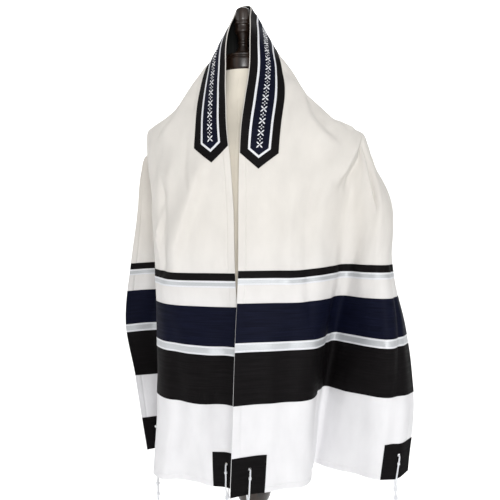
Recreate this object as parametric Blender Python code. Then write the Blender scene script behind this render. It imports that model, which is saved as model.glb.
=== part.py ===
"""A tallit (prayer shawl) draped over a limbless dress form.

Run with: blender --background --python part.py

The shawl is one long cloth worn like a scarf. A point of the cloth is named by
two lengths on the flat cloth: "along", from the centre back to the two hems
(negative on the left half), and "across", from the neck edge to the free edge.
The tables below give where a few lines across the cloth lie in space, and every
piece that is sewn on the cloth is cut out of the same surface and moved outwards.
The garment faces -Y and stands on the floor at Z = 0.
"""

import math

import bpy
from mathutils import Vector

CM = 0.01
GAP = 0.0003

# Flat sizes of the shawl, in centimetres.
HALF_LENGTH = 91.5
WIDTH = 46.0
EYELET_FROM_HEM = 4.0
EYELET_FROM_SIDE = 3.1
EYELET_RADIUS = 0.4
PATCH_SIDE = 6.0

# Thickness of each layer, in metres, from the cloth outwards.
CLOTH_WALL = 0.0015
STRIP_WALL = 0.0010
TRIM_WALL = 0.0013

# Heights of the sewn bands above the hem, in centimetres.
BLACK_WIDE = (14.0, 22.3)
SILVER_WIDE = (22.3, 23.8)
NAVY_BAND = (23.8, 30.6)
SILVER_NARROW = (33.8, 35.0)
BLACK_NARROW = (35.0, 36.3)
BANDS = (
    ("band_black_wide", BLACK_WIDE, "black"),
    ("ribbon_silver_wide", SILVER_WIDE, "silver"),
    ("band_navy", NAVY_BAND, "navy"),
    ("ribbon_silver_narrow", SILVER_NARROW, "silver"),
    ("band_black_narrow", BLACK_NARROW, "black"),
)

# The neckband: how far its middle lies to the right, half length to its corners,
# length of its points, edges across.
NECKBAND_SHIFT = 0.75
NECKBAND_CORNER = 34.55
NECKBAND_POINT = 2.7
NECKBAND_ACROSS = (0.2, 7.1)
TRIM_INSET = 1.45
TRIM_WIDTH = 0.4

# Where the folds of the net of triangles lie: heights above the hem and
# distances from the neck edge, in centimetres.
NET_HEIGHTS = (0, 3, 6, 10, 14, 18.2, 22.3, 23.8, 27.2, 30.6, 33.8, 35, 36.3,
               40, 44, 48, 52, 55.5, 58.5, 61.5, 64.5, 67.5, 70.5, 73.5, 76.5,
               79.5, 82.5, 85, 87.2, 89.4, 91.5)
NET_ACROSS = (0, 1.6, 4.6, 7.4, 9.6, 11.6, 13.4, 15.2, 17, 19, 21, 23, 25.2,
              27.6, 30.2, 33, 36, 38.8, 41.4, 44.4, 46)

# Lines across the cloth. Each row: along, then points (across, x, y, z), in
# centimetres. The first table serves both sides, mirrored in x.
SHOULDER_LINES = (
    (0.0, ((0, 0, -0.8, 160.2), (3.5, 0, 0.6, 157.2), (7, 0, 1.9, 154.1),
           (14, 0, 4.5, 147.6), (22, 0, 7.6, 140.3), (30, 0, 9.8, 132.6),
           (38, 0, 10.8, 124.7), (46, 0, 11.2, 116.7))),
    (3.0, ((0, 1.15, -2.2, 159.5), (3.5, 2.5, -0.7, 156.6), (7, 2.9, 1.0, 153.8),
           (14, 3.2, 4.0, 147.3), (22, 3.3, 7.3, 140.0), (30, 3.3, 9.5, 132.4),
           (38, 3.2, 10.6, 124.8), (46, 3.0, 11.1, 117.2))),
    (7.0, ((0, 1.6, -4.6, 156.9), (3.5, 3.5, -2.2, 154.8), (7, 5.0, -0.4, 152.2),
           (14, 6.0, 2.5, 146.7), (22, 6.8, 6.2, 139.9), (30, 7.1, 9.0, 132.4),
           (38, 7.2, 10.3, 125.0), (46, 7.0, 10.9, 118.6))),
    (13.0, ((0, 2.1, -7.3, 152.6), (3.5, 4.5, -5.3, 151.1), (7, 6.4, -3.1, 149.6),
            (8.6, 7.5, -2.2, 148.9), (10, 8.3, -1.1, 147.9), (14, 9.6, 1.6, 144.9),
            (18, 10.7, 3.9, 141.7), (24, 11.9, 6.6, 136.8), (31, 12.7, 8.3, 131.2),
            (38, 12.8, 9.4, 126.0), (46, 12.6, 10.2, 121.6))),
)
RIGHT_LINES = (
    (19.0, ((0, 2.15, -8.3, 147.2), (3.5, 4.9, -6.2, 146.7), (7, 7.1, -3.9, 146.8),
            (8.6, 8.2, -3.0, 146.2), (10, 8.9, -2.0, 145.2), (14, 11.4, 0.4, 142.6),
            (18, 13.6, 2.5, 139.6), (24, 15.4, 4.8, 135.7), (31, 16.3, 6.5, 131.7),
            (38, 16.5, 7.6, 128.4), (46, 16.3, 8.5, 125.4))),
    (25.0, ((0, 1.7, -10.0, 141.9), (3.5, 4.8, -8.2, 141.6), (7, 7.8, -6.2, 141.8),
            (11, 11.4, -4.3, 142.2), (14, 13.8, -3.2, 140.3), (18, 16.5, -1.2, 137.9),
            (24, 18.4, 1.5, 135.8), (32, 18.9, 3.8, 133.4), (39, 18.9, 5.0, 131.4),
            (46, 18.6, 6.0, 129.4))),
    (30.0, ((0, 1.25, -11.3, 136.9), (3.5, 4.5, -10.2, 136.7), (7, 7.6, -8.7, 136.7),
            (11, 11.3, -7.4, 137.0), (15, 15.2, -5.4, 137.3), (19.5, 18.6, -2.3, 136.6),
            (25, 20.2, 0.0, 136.2), (31, 21.0, 1.6, 135.7), (38, 21.4, 2.9, 134.1),
            (46, 21.5, 3.6, 132.4))),
    (36.0, ((0, 1.05, -12.1, 131.2), (6, 6.5, -10.9, 131.0), (11, 11.3, -9.3, 131.2),
            (15, 15.4, -7.0, 131.6), (20, 19.2, -3.6, 131.8), (27, 21.5, -2.0, 131.4),
            (33, 22.4, 0.2, 131.0), (37, 22.3, 1.9, 130.6), (41, 22.8, 2.9, 130.1),
            (46, 23.3, 3.4, 129.2))),
    (44.0, ((0, 1.0, -12.9, 123.2), (6, 6.6, -11.9, 123.2), (11, 11.3, -10.6, 123.4),
            (15, 14.8, -8.8, 123.8), (19, 17.4, -5.8, 124.0), (23, 18.9, -4.1, 124.0),
            (28, 22.0, -4.5, 124.0), (33, 24.2, -3.9, 123.8), (38, 25.5, -2.2, 123.6),
            (42, 25.9, 0.6, 123.2), (46, 25.6, 3.2, 122.6))),
    (55.2, ((0, 1.1, -14.2, 112.0), (6, 6.7, -12.9, 112.0), (11, 11.3, -11.6, 112.0),
            (14, 13.8, -10.2, 112.2), (18, 16.0, -7.2, 112.4), (22, 17.3, -4.6, 112.5),
            (25, 19.0, -4.0, 112.5), (29, 21.3, -6.0, 112.5), (33, 23.5, -6.8, 112.5),
            (38, 25.4, -5.2, 112.4), (42, 25.9, -2.2, 112.3), (46, 25.8, 0.9, 112.0))),
    (67.7, ((0, 0.95, -16.4, 100.3), (6, 6.3, -14.2, 100.3), (11, 11.1, -12.4, 100.3),
            (14, 13.2, -11.0, 100.3), (18, 14.5, -7.6, 100.3), (22, 14.8, -3.9, 100.3),
            (24.5, 16.0, -2.8, 100.3), (27, 17.9, -4.2, 100.3), (32, 21.9, -7.6, 100.3),
            (38, 25.8, -9.0, 100.3), (42, 27.5, -6.2, 100.3), (46, 28.2, -2.6, 100.2))),
    (77.5, ((0, 1.0, -18.4, 90.5), (4, 4.6, -16.2, 90.5), (8, 7.9, -14.6, 90.5),
            (11.5, 10.8, -13.7, 90.5), (14, 12.5, -12.1, 90.5), (18, 13.1, -8.5, 90.5),
            (22, 12.9, -4.5, 90.5), (24.5, 13.8, -2.6, 90.5), (27, 15.7, -3.6, 90.5),
            (30, 17.8, -5.5, 90.5), (34, 21.0, -7.1, 90.5), (40, 25.6, -8.2, 90.4),
            (43, 28.0, -5.9, 90.4), (46, 29.3, -2.9, 90.3))),
    (91.5, ((0, 0.7, -19.9, 76.3), (3, 3.1, -17.9, 76.3), (6, 5.3, -15.9, 76.2),
            (9.5, 8.6, -14.2, 76.2), (12, 10.9, -13.1, 76.2), (14.5, 11.9, -11.0, 76.2),
            (18, 12.0, -7.6, 76.2), (22, 11.4, -3.8, 76.3), (25, 11.7, -1.6, 76.3),
            (27.5, 13.6, -2.9, 76.3), (30, 15.6, -4.0, 76.3), (34, 19.1, -5.4, 76.3),
            (40, 23.6, -7.5, 76.3), (43, 26.2, -7.1, 76.5), (46, 28.2, -4.9, 77.3))),
)
LEFT_LINES = (
    (19.0, ((0, -2.15, -8.3, 147.3), (3.5, -4.9, -6.2, 146.9), (7, -7.4, -3.9, 147.0),
            (8.6, -9.0, -3.3, 146.9), (10, -10.0, -2.5, 146.0), (14, -12.0, 0.2, 143.3),
            (18, -14.0, 2.6, 140.4), (24, -15.7, 4.8, 136.3), (31, -16.5, 6.5, 132.1),
            (38, -16.7, 7.6, 128.9), (46, -16.5, 8.5, 125.8))),
    (25.0, ((0, -1.7, -10.0, 141.9), (3.5, -4.8, -8.2, 141.7), (7, -7.8, -6.2, 141.9),
            (11, -11.5, -4.3, 142.3), (14, -13.8, -3.3, 140.6), (18, -16.7, -1.3, 138.9),
            (24, -18.6, 1.5, 137.0), (32, -19.0, 3.8, 134.4), (39, -18.9, 5.0, 132.2),
            (46, -18.8, 6.0, 130.1))),
    (30.0, ((0, -1.25, -11.3, 136.9), (3.5, -4.5, -10.2, 136.8), (7, -7.6, -8.7, 136.9),
            (11, -11.3, -7.4, 137.4), (15, -15.2, -5.4, 138.0), (19.5, -18.7, -2.2, 137.8),
            (25, -19.9, 0.0, 137.3), (31, -20.3, 1.6, 136.4), (38, -20.8, 3.4, 135.0),
            (46, -21.8, 4.0, 133.2))),
    (36.0, ((0, -0.5, -12.4, 131.0), (6, -6.2, -11.4, 130.8), (11, -11.0, -10.0, 131.0),
            (15, -14.8, -8.0, 131.4), (19, -17.8, -5.0, 131.6), (23, -19.1, -2.5, 131.5),
            (28, -19.6, 0.2, 131.3), (33, -19.2, 3.0, 131.0), (37, -19.4, 5.0, 130.7),
            (41, -21.3, 4.8, 130.2), (46, -23.0, 3.4, 129.6))),
    (44.0, ((0, 0.1, -12.9, 123.0), (6, -5.8, -12.2, 123.0), (11, -10.6, -11.2, 123.0),
            (15, -14.2, -9.4, 123.3), (18.5, -16.9, -6.6, 123.6), (22, -17.9, -3.2, 123.8),
            (28, -18.2, 1.2, 123.8), (33, -18.1, 4.9, 123.6), (36.5, -18.9, 6.8, 123.4),
            (41, -21.4, 5.8, 123.1), (46, -23.9, 3.8, 122.6))),
    (55.2, ((0, 0.3, -13.0, 111.5), (6, -5.6, -12.7, 111.5), (11, -10.4, -12.0, 111.5),
            (15, -13.8, -10.2, 111.6), (18.5, -16.1, -7.4, 111.8), (22, -16.8, -3.8, 112.0),
            (26, -16.9, 0.3, 112.0), (31, -16.9, 4.9, 112.0), (34.5, -17.8, 7.4, 112.0),
            (38, -19.6, 6.9, 112.1), (42, -22.2, 5.2, 112.1), (46, -25.2, 3.0, 112.0))),
    (67.7, ((0, 0.8, -13.2, 99.0), (6, -4.6, -12.8, 99.1), (11, -9.2, -12.6, 99.2),
            (15, -12.9, -10.8, 99.3), (18.5, -15.8, -7.6, 99.4), (22, -16.4, -4.0, 99.5),
            (27, -16.2, 0.7, 99.6), (32, -16.3, 5.5, 99.7), (34.8, -17.6, 7.5, 99.8),
            (38, -19.9, 6.7, 99.9), (42, -23.0, 4.6, 100.0), (46, -26.1, 2.2, 99.9))),
    (77.5, ((0, 0.95, -13.3, 89.0), (5, -3.6, -12.6, 89.2), (9, -6.5, -13.4, 89.3),
            (13, -10.0, -12.7, 89.3), (16.5, -13.1, -10.9, 89.3), (20, -15.9, -7.5, 89.4),
            (24, -16.0, -3.5, 89.5), (29, -15.9, 1.4, 89.6), (33, -16.0, 5.2, 89.6),
            (36, -17.2, 7.5, 89.5), (39, -19.2, 6.1, 89.7), (43, -21.9, 3.4, 89.9),
            (46, -23.9, 1.3, 90.1))),
    (91.5, ((0, 0.6, -13.0, 74.8), (6, -4.3, -11.7, 74.9), (10, -7.4, -11.3, 75.1),
            (13, -10.6, -11.4, 75.2), (16, -13.7, -11.4, 75.2), (19, -16.1, -9.6, 75.3),
            (23, -16.7, -6.0, 75.4), (29, -16.7, 0.0, 75.5), (33.5, -16.6, 4.4, 75.4),
            (36, -17.3, 6.3, 75.2), (38.5, -18.3, 5.3, 75.3), (42, -19.5, 2.8, 75.8),
            (46, -20.9, -0.6, 76.3))),
)

# The largest creases. Each row: side (0 is both), then the line's two ends
# (along, across), half width and height, outwards when positive, in centimetres.
CREASES = (
    (0, 27, 26, 6, 22, 2.0, -0.45),
    (0, 27, 30, 5, 31, 2.2, 0.55),
    (0, 27, 36, 6, 39, 2.2, -0.50),
    (-1, 31, 10, 56, 17, 1.4, 0.45),
    (-1, 30, 14, 46, 20, 1.6, -0.40),
    (-1, 44, 17, 62, 17, 1.2, -0.30),
    (1, 21, 9, 31, 16, 1.5, -0.50),
    (1, 26, 12, 31, 19, 1.3, 0.3),
    (1, 31, 22, 46, 14, 1.6, 0.50),
    (1, 32, 26, 50, 24, 1.8, -0.55),
    (1, 32, 31, 54, 33, 1.8, 0.45),
)
CREASE_END = 0.3
# Corners of cut pieces count as one when their flat places agree to 1 part in this.
SAME_CORNER = 31415.9

# Horizontal sections of the form's body: z, half width, half depth, centre y and how
# much further the chest stands forward in the middle.
TORSO_SECTIONS = (
    (147.2, 3.7, 3.7, -3.6, 0.0),
    (145.0, 4.3, 4.4, -3.5, 0.0),
    (142.6, 5.6, 5.4, -3.0, 0.2),
    (140.6, 8.8, 6.1, -2.3, 0.3),
    (138.9, 13.0, 6.85, -1.6, 0.2),
    (137.4, 16.4, 7.1, -1.1, 0.6),
    (135.6, 18.1, 7.7, -0.8, 1.2),
    (132.5, 18.0, 8.7, -0.5, 1.5),
    (127.0, 16.9, 10.0, -0.2, 1.3),
    (120.0, 15.6, 10.7, 0.0, 1.2),
    (112.0, 14.2, 10.6, 0.0, 1.4),
    (104.0, 12.6, 9.6, 0.2, 2.3),
    (98.0, 11.6, 9.1, 0.4, 2.8),
    (90.0, 11.9, 10.0, 0.6, 2.1),
    (82.0, 11.6, 10.4, 0.6, 1.4),
    (78.4, 11.2, 10.1, 0.6, 1.3),
    (78.0, 10.8, 9.7, 0.6, 1.3),
)
TORSO_SIDES = 28
TORSO_SQUARENESS = 2.25
CHEST_SHARPNESS = 6

# Turned profiles: radius, z, from the top down, in centimetres.
FINIAL_PROFILE = (
    (0.8, 158.9), (1.2, 158.7), (1.36, 157.9), (1.42, 156.6), (1.3, 156.35),
    (1.52, 156.15), (1.52, 155.9), (1.3, 155.65), (1.38, 155.1), (1.52, 154.7),
    (1.52, 154.45), (1.15, 154.1), (0.9, 153.2), (0.8, 152.9), (1.1, 152.5),
    (0.8, 152.1), (1.0, 151.5), (1.6, 150.6), (3.0, 150.25), (3.4, 150.1),
    (3.4, 149.85), (3.1, 149.65), (3.45, 149.3), (3.5, 147.6), (3.3, 147.23),
)
HUB_PROFILE = (
    (6.0, 77.97), (6.0, 76.8), (5.2, 75.9), (4.4, 74.8), (3.7, 72.6), (3.45, 70.4),
    (2.9, 68.7), (1.9, 67.2), (2.1, 66.4), (2.1, 65.8), (1.55, 65.2),
    (1.55, 9.6),
)
BASE_PROFILE = (
    (2.2, 9.57), (2.9, 9.0), (2.9, 8.2), (2.1, 7.4), (2.4, 5.2), (4.8, 4.1),
    (11.0, 3.3), (15.4, 2.6), (16.4, 1.9), (16.6, 1.0), (16.3, 0.0),
)
FORM_CENTRE_Y = 0.0
NECK_CENTRE_Y = -3.6
TURNED_SIDES = 20

# The corner strings, in centimetres: the loop through the eyelet, the knotted
# cord below the hem and the eight free strands.
LEG_HALF = 0.11
LEG_CLEAR = 0.2
LOOP_BELOW_CENTRE = 0.17
CORD_RADIUS = 0.27
CORD_SIDES = 8
CORD_BELOW_HEM = 1.2
KNOT_RADIUS = 0.42
KNOT_LENGTH = 0.7
KNOT_HEIGHTS = (0.0, 1.7, 3.5, 5.4, 7.4)
STRAND_COUNT = 8
STRAND_LENGTH = 19.0
STRAND_HALF = 0.06
STRAND_RING = 0.24
STRAND_ROOT = 0.4
STRAND_SPREAD = 0.8
STRAND_STEPS = 4

COLOURS = {
    "cream": ((0.84, 0.81, 0.76, 1), 0.8),
    "black": ((0.012, 0.011, 0.012, 1), 0.6),
    "navy": ((0.008, 0.011, 0.045, 1), 0.55),
    "silver": ((0.62, 0.64, 0.66, 1), 0.4),
    "white": ((0.85, 0.86, 0.88, 1), 0.7),
    "jersey": ((0.80, 0.75, 0.65, 1), 0.85),
    "wood": ((0.045, 0.025, 0.016, 1), 0.35),
}


def clear_scene():
    """Remove whatever the file opened with."""
    for item in list(bpy.data.objects):
        bpy.data.objects.remove(item, do_unlink=True)


def material_for(name):
    """One Principled material for each object, in a named colour."""
    colour, roughness = COLOURS[name.split("/")[1]]
    material = bpy.data.materials.new(name.split("/")[0])
    material.use_nodes = True
    shader = material.node_tree.nodes["Principled BSDF"]
    shader.inputs["Base Color"].default_value = colour
    shader.inputs["Roughness"].default_value = roughness
    return material


def add_object(name, vertices, faces, colour, smooth=True):
    """Make an object from points in centimetres, closed and facing out."""
    mesh = bpy.data.meshes.new(name)
    mesh.from_pydata([[value * CM for value in point] for point in vertices], [], faces)
    mesh.validate()
    if smooth:
        mesh.shade_smooth()
        mesh.set_sharp_from_angle(angle=math.radians(40))
    item = bpy.data.objects.new(name, mesh)
    mesh.materials.append(material_for(name + "/" + colour))
    bpy.context.collection.objects.link(item)
    return item


def smooth_through(knots, points, position):
    """A smooth curve through points at uneven knots."""
    last = len(knots) - 1
    index = 0
    while index < last - 1 and knots[index + 1] < position:
        index += 1

    def slope(k):
        if k == 0:
            return (points[1] - points[0]) / (knots[1] - knots[0])
        if k == last:
            return (points[last] - points[last - 1]) / (knots[last] - knots[last - 1])
        before = knots[k] - knots[k - 1]
        after = knots[k + 1] - knots[k]
        left = (points[k] - points[k - 1]) / before
        right = (points[k + 1] - points[k]) / after
        return (left * after + right * before) / (before + after)

    step = knots[index + 1] - knots[index]
    s = (position - knots[index]) / step
    return ((2 * s**3 - 3 * s**2 + 1) * points[index]
            + (s**3 - 2 * s**2 + s) * step * slope(index)
            + (3 * s**2 - 2 * s**3) * points[index + 1]
            + (s**3 - s**2) * step * slope(index + 1))


def smooth_step(low, high, value):
    """0 below low, 1 above high, with a soft change between."""
    t = min(1.0, max(0.0, (value - low) / (high - low)))
    return t * t * (3 - 2 * t)


class Drape:
    """The cloth's surface: where a point of the flat cloth hangs."""

    def __init__(self):
        self.columns = {}

    def column(self, side, across):
        """The line along the cloth at one distance from the neck edge."""
        key = (side, round(across, 5))
        if key in self.columns:
            return self.columns[key]
        knots = []
        points = []
        for along, row in SHOULDER_LINES:
            point = smooth_through([p[0] for p in row], [Vector(p[1:]) for p in row], across)
            point.x *= side
            knots.append(along)
            points.append(point)
        for mirrored in (1, 2):
            ghost = points[2 * mirrored - 1].copy()
            ghost.x = -ghost.x
            knots.insert(0, -knots[2 * mirrored - 1])
            points.insert(0, ghost)
        for along, row in RIGHT_LINES if side > 0 else LEFT_LINES:
            knots.append(along)
            points.append(smooth_through([p[0] for p in row], [Vector(p[1:]) for p in row], across))
        self.columns[key] = (knots, points)
        return self.columns[key]

    def plain(self, along, across):
        """The surface without its creases."""
        knots, points = self.column(1 if along >= 0 else -1, across)
        return smooth_through(knots, points, abs(along))

    def normal(self, along, across, surface):
        """The outward direction, from the slopes of a surface."""
        reach = 0.25
        low = max(-HALF_LENGTH, along - reach)
        high = min(HALF_LENGTH, along + reach)
        inner = max(0.0, across - reach)
        outer = min(WIDTH, across + reach)
        lengthwise = surface(high, across) - surface(low, across)
        widthwise = surface(along, outer) - surface(along, inner)
        return lengthwise.cross(widthwise).normalized()

    def point(self, along, across):
        """The surface with its creases."""
        height = crease_height(along, across)
        place = self.plain(along, across)
        if abs(height) < 1e-4:
            return place
        return place + self.normal(along, across, self.plain) * height


def crease_height(along, across):
    """How far the creases move a point of the cloth outwards."""
    total = 0.0
    for side, along0, across0, along1, across1, half_width, height in CREASES:
        if side * along < 0:
            continue
        run = Vector((along1 - along0, across1 - across0))
        reach = Vector((abs(along) - along0, across - across0))
        share = reach.dot(run) / run.length_squared
        if not 0 < share < 1:
            continue
        ends = smooth_step(0, CREASE_END, share) * smooth_step(0, CREASE_END, 1 - share)
        aside = abs(run.x * reach.y - run.y * reach.x) / run.length
        total += height * ends * math.exp(-(aside / half_width) ** 2)
    return total


def cut_polygon(polygon, start, end):
    """Keep the part of a flat polygon that lies left of a directed line."""
    run = (end[0] - start[0], end[1] - start[1])

    def side_of(p):
        return run[0] * (p[1] - start[1]) - run[1] * (p[0] - start[0])

    kept = []
    for index, here in enumerate(polygon):
        there = polygon[(index + 1) % len(polygon)]
        a = side_of(here)
        b = side_of(there)
        if a >= -1e-9:
            kept.append(here)
        if (a > 1e-9 and b < -1e-9) or (a < -1e-9 and b > 1e-9):
            t = a / (a - b)
            kept.append((here[0] + (there[0] - here[0]) * t, here[1] + (there[1] - here[1]) * t))
    return kept


def flat_area(polygon):
    """The signed area of a flat polygon."""
    return 0.5 * sum(p[0] * q[1] - q[0] * p[1]
                     for p, q in zip(polygon, polygon[1:] + polygon[:1]))


class ClothNet:
    """The net of flat triangles that the cloth and all that is sewn on it share."""

    def __init__(self, drape):
        self.drape = drape
        self.places = {}
        heights = [HALF_LENGTH - height for height in NET_HEIGHTS]
        self.alongs = [-value for value in heights] + heights[::-1][1:]
        self.triangles = []
        for a0, a1 in zip(self.alongs, self.alongs[1:]):
            for c0, c1 in zip(NET_ACROSS, NET_ACROSS[1:]):
                self.triangles += self.cell(a0, a1, c0, c1)

    def cell(self, a0, a1, c0, c1):
        """Two triangles, or a ring of them round an eyelet."""
        corners = [(a0, c0), (a1, c0), (a1, c1), (a0, c1)]
        for eyelet in eyelets():
            if a0 < eyelet[0] < a1 and c0 < eyelet[1] < c1:
                return self.ring(corners, eyelet)
        return [(corners[0], corners[1], corners[2]), (corners[0], corners[2], corners[3])]

    @staticmethod
    def ring(corners, centre):
        """Triangles between a cell's four corners and an eight-sided eyelet."""
        hole = []
        for k in range(8):
            angle = math.pi * (k / 4 - 0.75)
            hole.append((centre[0] + EYELET_RADIUS * math.cos(angle),
                         centre[1] + EYELET_RADIUS * math.sin(angle)))
        triangles = []
        for k, corner in enumerate(corners):
            after = corners[(k + 1) % 4]
            first, middle, last = hole[2 * k], hole[2 * k + 1], hole[(2 * k + 2) % 8]
            triangles += [(corner, middle, first), (corner, after, middle), (after, last, middle)]
        return triangles

    def place(self, flat):
        """The point and outward direction of a corner of the net."""
        if flat not in self.places:
            self.places[flat] = (self.drape.point(*flat),
                                 self.drape.normal(flat[0], flat[1], self.drape.point))
        return self.places[flat]

    def lift(self, triangle, flat, height):
        """The point at a height over a flat point inside one triangle."""
        total = flat_area(list(triangle))
        result = Vector((0, 0, 0))
        for k in range(3):
            share = flat_area([flat, triangle[(k + 1) % 3], triangle[(k + 2) % 3]]) / total
            point, outward = self.place(triangle[k])
            result += share * (point + outward * height)
        return result

    def over(self, flat, height):
        """The point at a height over any flat place, the eyelets' holes included."""
        for triangle in self.triangles:
            if all(flat_area([flat, triangle[k], triangle[(k + 1) % 3]]) >= -1e-6
                   for k in range(3)):
                return self.lift(triangle, flat, height)
        outward = self.drape.normal(flat[0], flat[1], self.drape.point)
        return self.drape.point(*flat) + outward * height


def eyelets():
    """The flat places of the four eyelets, one near each corner."""
    along = HALF_LENGTH - EYELET_FROM_HEM
    return [(side * along, across)
            for side in (-1, 1)
            for across in (EYELET_FROM_SIDE, WIDTH - EYELET_FROM_SIDE)]


def sewn_piece(name, net, regions, bottom, top, colour):
    """Cut convex regions out of the net and give them a thickness.

    bottom and top are heights over the net in centimetres.
    """
    lower = {}
    upper = {}
    vertices = []
    faces = []

    def corner(layer, triangle, flat, height):
        key = (round(flat[0] * SAME_CORNER), round(flat[1] * SAME_CORNER))
        if key not in layer:
            layer[key] = len(vertices)
            vertices.append(net.lift(triangle, flat, height))
        return layer[key]

    edges = {}
    for region in regions:
        low = [min(p[k] for p in region) for k in (0, 1)]
        high = [max(p[k] for p in region) for k in (0, 1)]
        for triangle in net.triangles:
            if any(max(p[k] for p in triangle) <= low[k] or min(p[k] for p in triangle) >= high[k]
                   for k in (0, 1)):
                continue
            polygon = list(triangle)
            for start, end in zip(region, region[1:] + region[:1]):
                polygon = cut_polygon(polygon, start, end)
                if len(polygon) < 3:
                    break
            if len(polygon) < 3 or flat_area(polygon) < 1e-7:
                continue
            over = [corner(upper, triangle, p, top) for p in polygon]
            under = [corner(lower, triangle, p, bottom) for p in polygon]
            for k in range(1, len(polygon) - 1):
                faces.append((over[0], over[k], over[k + 1]))
                faces.append((under[0], under[k + 1], under[k]))
            for k in range(len(polygon)):
                after = (k + 1) % len(polygon)
                edge = (over[k], over[after])
                if edge[::-1] in edges:
                    del edges[edge[::-1]]
                else:
                    edges[edge] = (under[k], under[after])
    for (over0, over1), (under0, under1) in edges.items():
        faces.append((over0, under0, under1))
        faces.append((over0, under1, over1))
    return add_object(name, vertices, faces, colour)


def rectangle(along0, along1, across0, across1):
    """A flat rectangle, counter-clockwise."""
    return [(along0, across0), (along1, across0), (along1, across1), (along0, across1)]


def neckband_outline(inset):
    """The neckband's flat outline with both points, moved inwards by an inset."""
    low = NECKBAND_ACROSS[0] + inset
    high = NECKBAND_ACROSS[1] - inset
    half = (NECKBAND_ACROSS[1] - NECKBAND_ACROSS[0]) / 2
    slant = math.hypot(NECKBAND_POINT, half) / half
    tip = NECKBAND_CORNER + NECKBAND_POINT - inset * slant
    corner = tip - NECKBAND_POINT * (high - low) / (2 * half)
    middle = (low + high) / 2
    outline = ((-corner, low), (corner, low), (tip, middle),
               (corner, high), (-corner, high), (-tip, middle))
    return [(along + NECKBAND_SHIFT, across) for along, across in outline]


def build_shawl(net):
    """The cloth, its bands, ribbons, corner patches and neckband."""
    wall = CLOTH_WALL / CM
    strip = STRIP_WALL / CM
    gap = GAP / CM
    trim = TRIM_WALL / CM
    sewn_piece("shawl_cloth", net, [rectangle(-HALF_LENGTH, HALF_LENGTH, 0, WIDTH)],
               -wall / 2, wall / 2, "cream")
    base = wall / 2 + gap
    for side, end in ((1, "right"), (-1, "left")):
        for name, (low, high), colour in BANDS:
            ends = sorted((side * (HALF_LENGTH - low - gap / 2),
                           side * (HALF_LENGTH - high + gap / 2)))
            sewn_piece(f"{name}_{end}", net, [rectangle(*ends, gap, WIDTH - gap)],
                       base, base + strip, colour)
        ends = sorted((side * (HALF_LENGTH - gap), side * (HALF_LENGTH - PATCH_SIDE)))
        for place, across in (("front", (gap, PATCH_SIDE)),
                              ("side", (WIDTH - PATCH_SIDE, WIDTH - gap))):
            sewn_piece(f"corner_patch_{end}_{place}", net, [rectangle(*ends, *across)],
                       base, base + strip, "black")
    sewn_piece("neckband_ground", net, [neckband_outline(0)], base, base + strip, "black")
    outer = neckband_outline(TRIM_INSET)
    inner = neckband_outline(TRIM_INSET + TRIM_WIDTH)
    rim = [[outer[k], outer[(k + 1) % 6], inner[(k + 1) % 6], inner[k]] for k in range(6)]
    base += strip + gap
    sewn_piece("neckband_trim", net, rim, base, base + trim, "white")
    sewn_piece("neckband_panel", net, [neckband_outline(TRIM_INSET + TRIM_WIDTH + gap)],
               base, base + strip, "navy")


def tube_rings(route, half, upright):
    """Square rings along a route, kept square to it without twisting."""
    rings = []
    last = len(route) - 1
    for index, centre in enumerate(route):
        run = (route[min(index + 1, last)] - route[max(index - 1, 0)]).normalized()
        sideways = run.cross(upright).normalized()
        upright = sideways.cross(run)
        rings.append([centre + (sideways * x + upright * y) * half
                      for x, y in ((1, 1), (-1, 1), (-1, -1), (1, -1))])
    return rings


def closed_tube(vertices, faces, rings):
    """Add a tube with flat ends to lists of points and faces."""
    start = len(vertices)
    sides = len(rings[0])
    for ring in rings:
        vertices.extend(ring)
    for row in range(len(rings) - 1):
        for k in range(sides):
            a = start + row * sides + k
            b = start + row * sides + (k + 1) % sides
            faces.append((a, b, b + sides, a + sides))
    end = start + (len(rings) - 1) * sides
    faces.append(tuple(start + k for k in reversed(range(sides))))
    faces.append(tuple(end + k for k in range(sides)))


def loop_route(net, eyelet):
    """The string's route: up the face, through the eyelet, down behind to the cord."""
    along, across = eyelet
    down = math.copysign(1, along)
    hem = down * HALF_LENGTH
    middle = (along + hem) / 2
    corner = LEG_HALF * math.sqrt(2)
    back = CLOTH_WALL / CM / 2 + corner + LEG_CLEAR
    front = back + (GAP + STRIP_WALL) / CM
    bend = EYELET_RADIUS + LEG_CLEAR
    rest = along + down * LOOP_BELOW_CENTRE
    route = [net.over((place, across), height)
             for place, height in ((hem, front), (middle, front), (along + down * bend, front),
                                   (rest, front * 0.9), (rest, 0), (rest, -back * 0.9),
                                   (along + down * bend, -back), (middle, -back), (hem, -back))]
    head = (route[0] + route[-1]) / 2
    head.z -= CORD_BELOW_HEM
    facing = (route[0] - route[-1]) * Vector((1, 1, 0))
    facing = facing.normalized()
    root = Vector((0, 0, -KNOT_LENGTH * 0.6))
    route.insert(0, head + root + facing * (corner + LEG_CLEAR / 2))
    route.append(head + root - facing * (corner + LEG_CLEAR / 2))
    return route, head, facing


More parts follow.
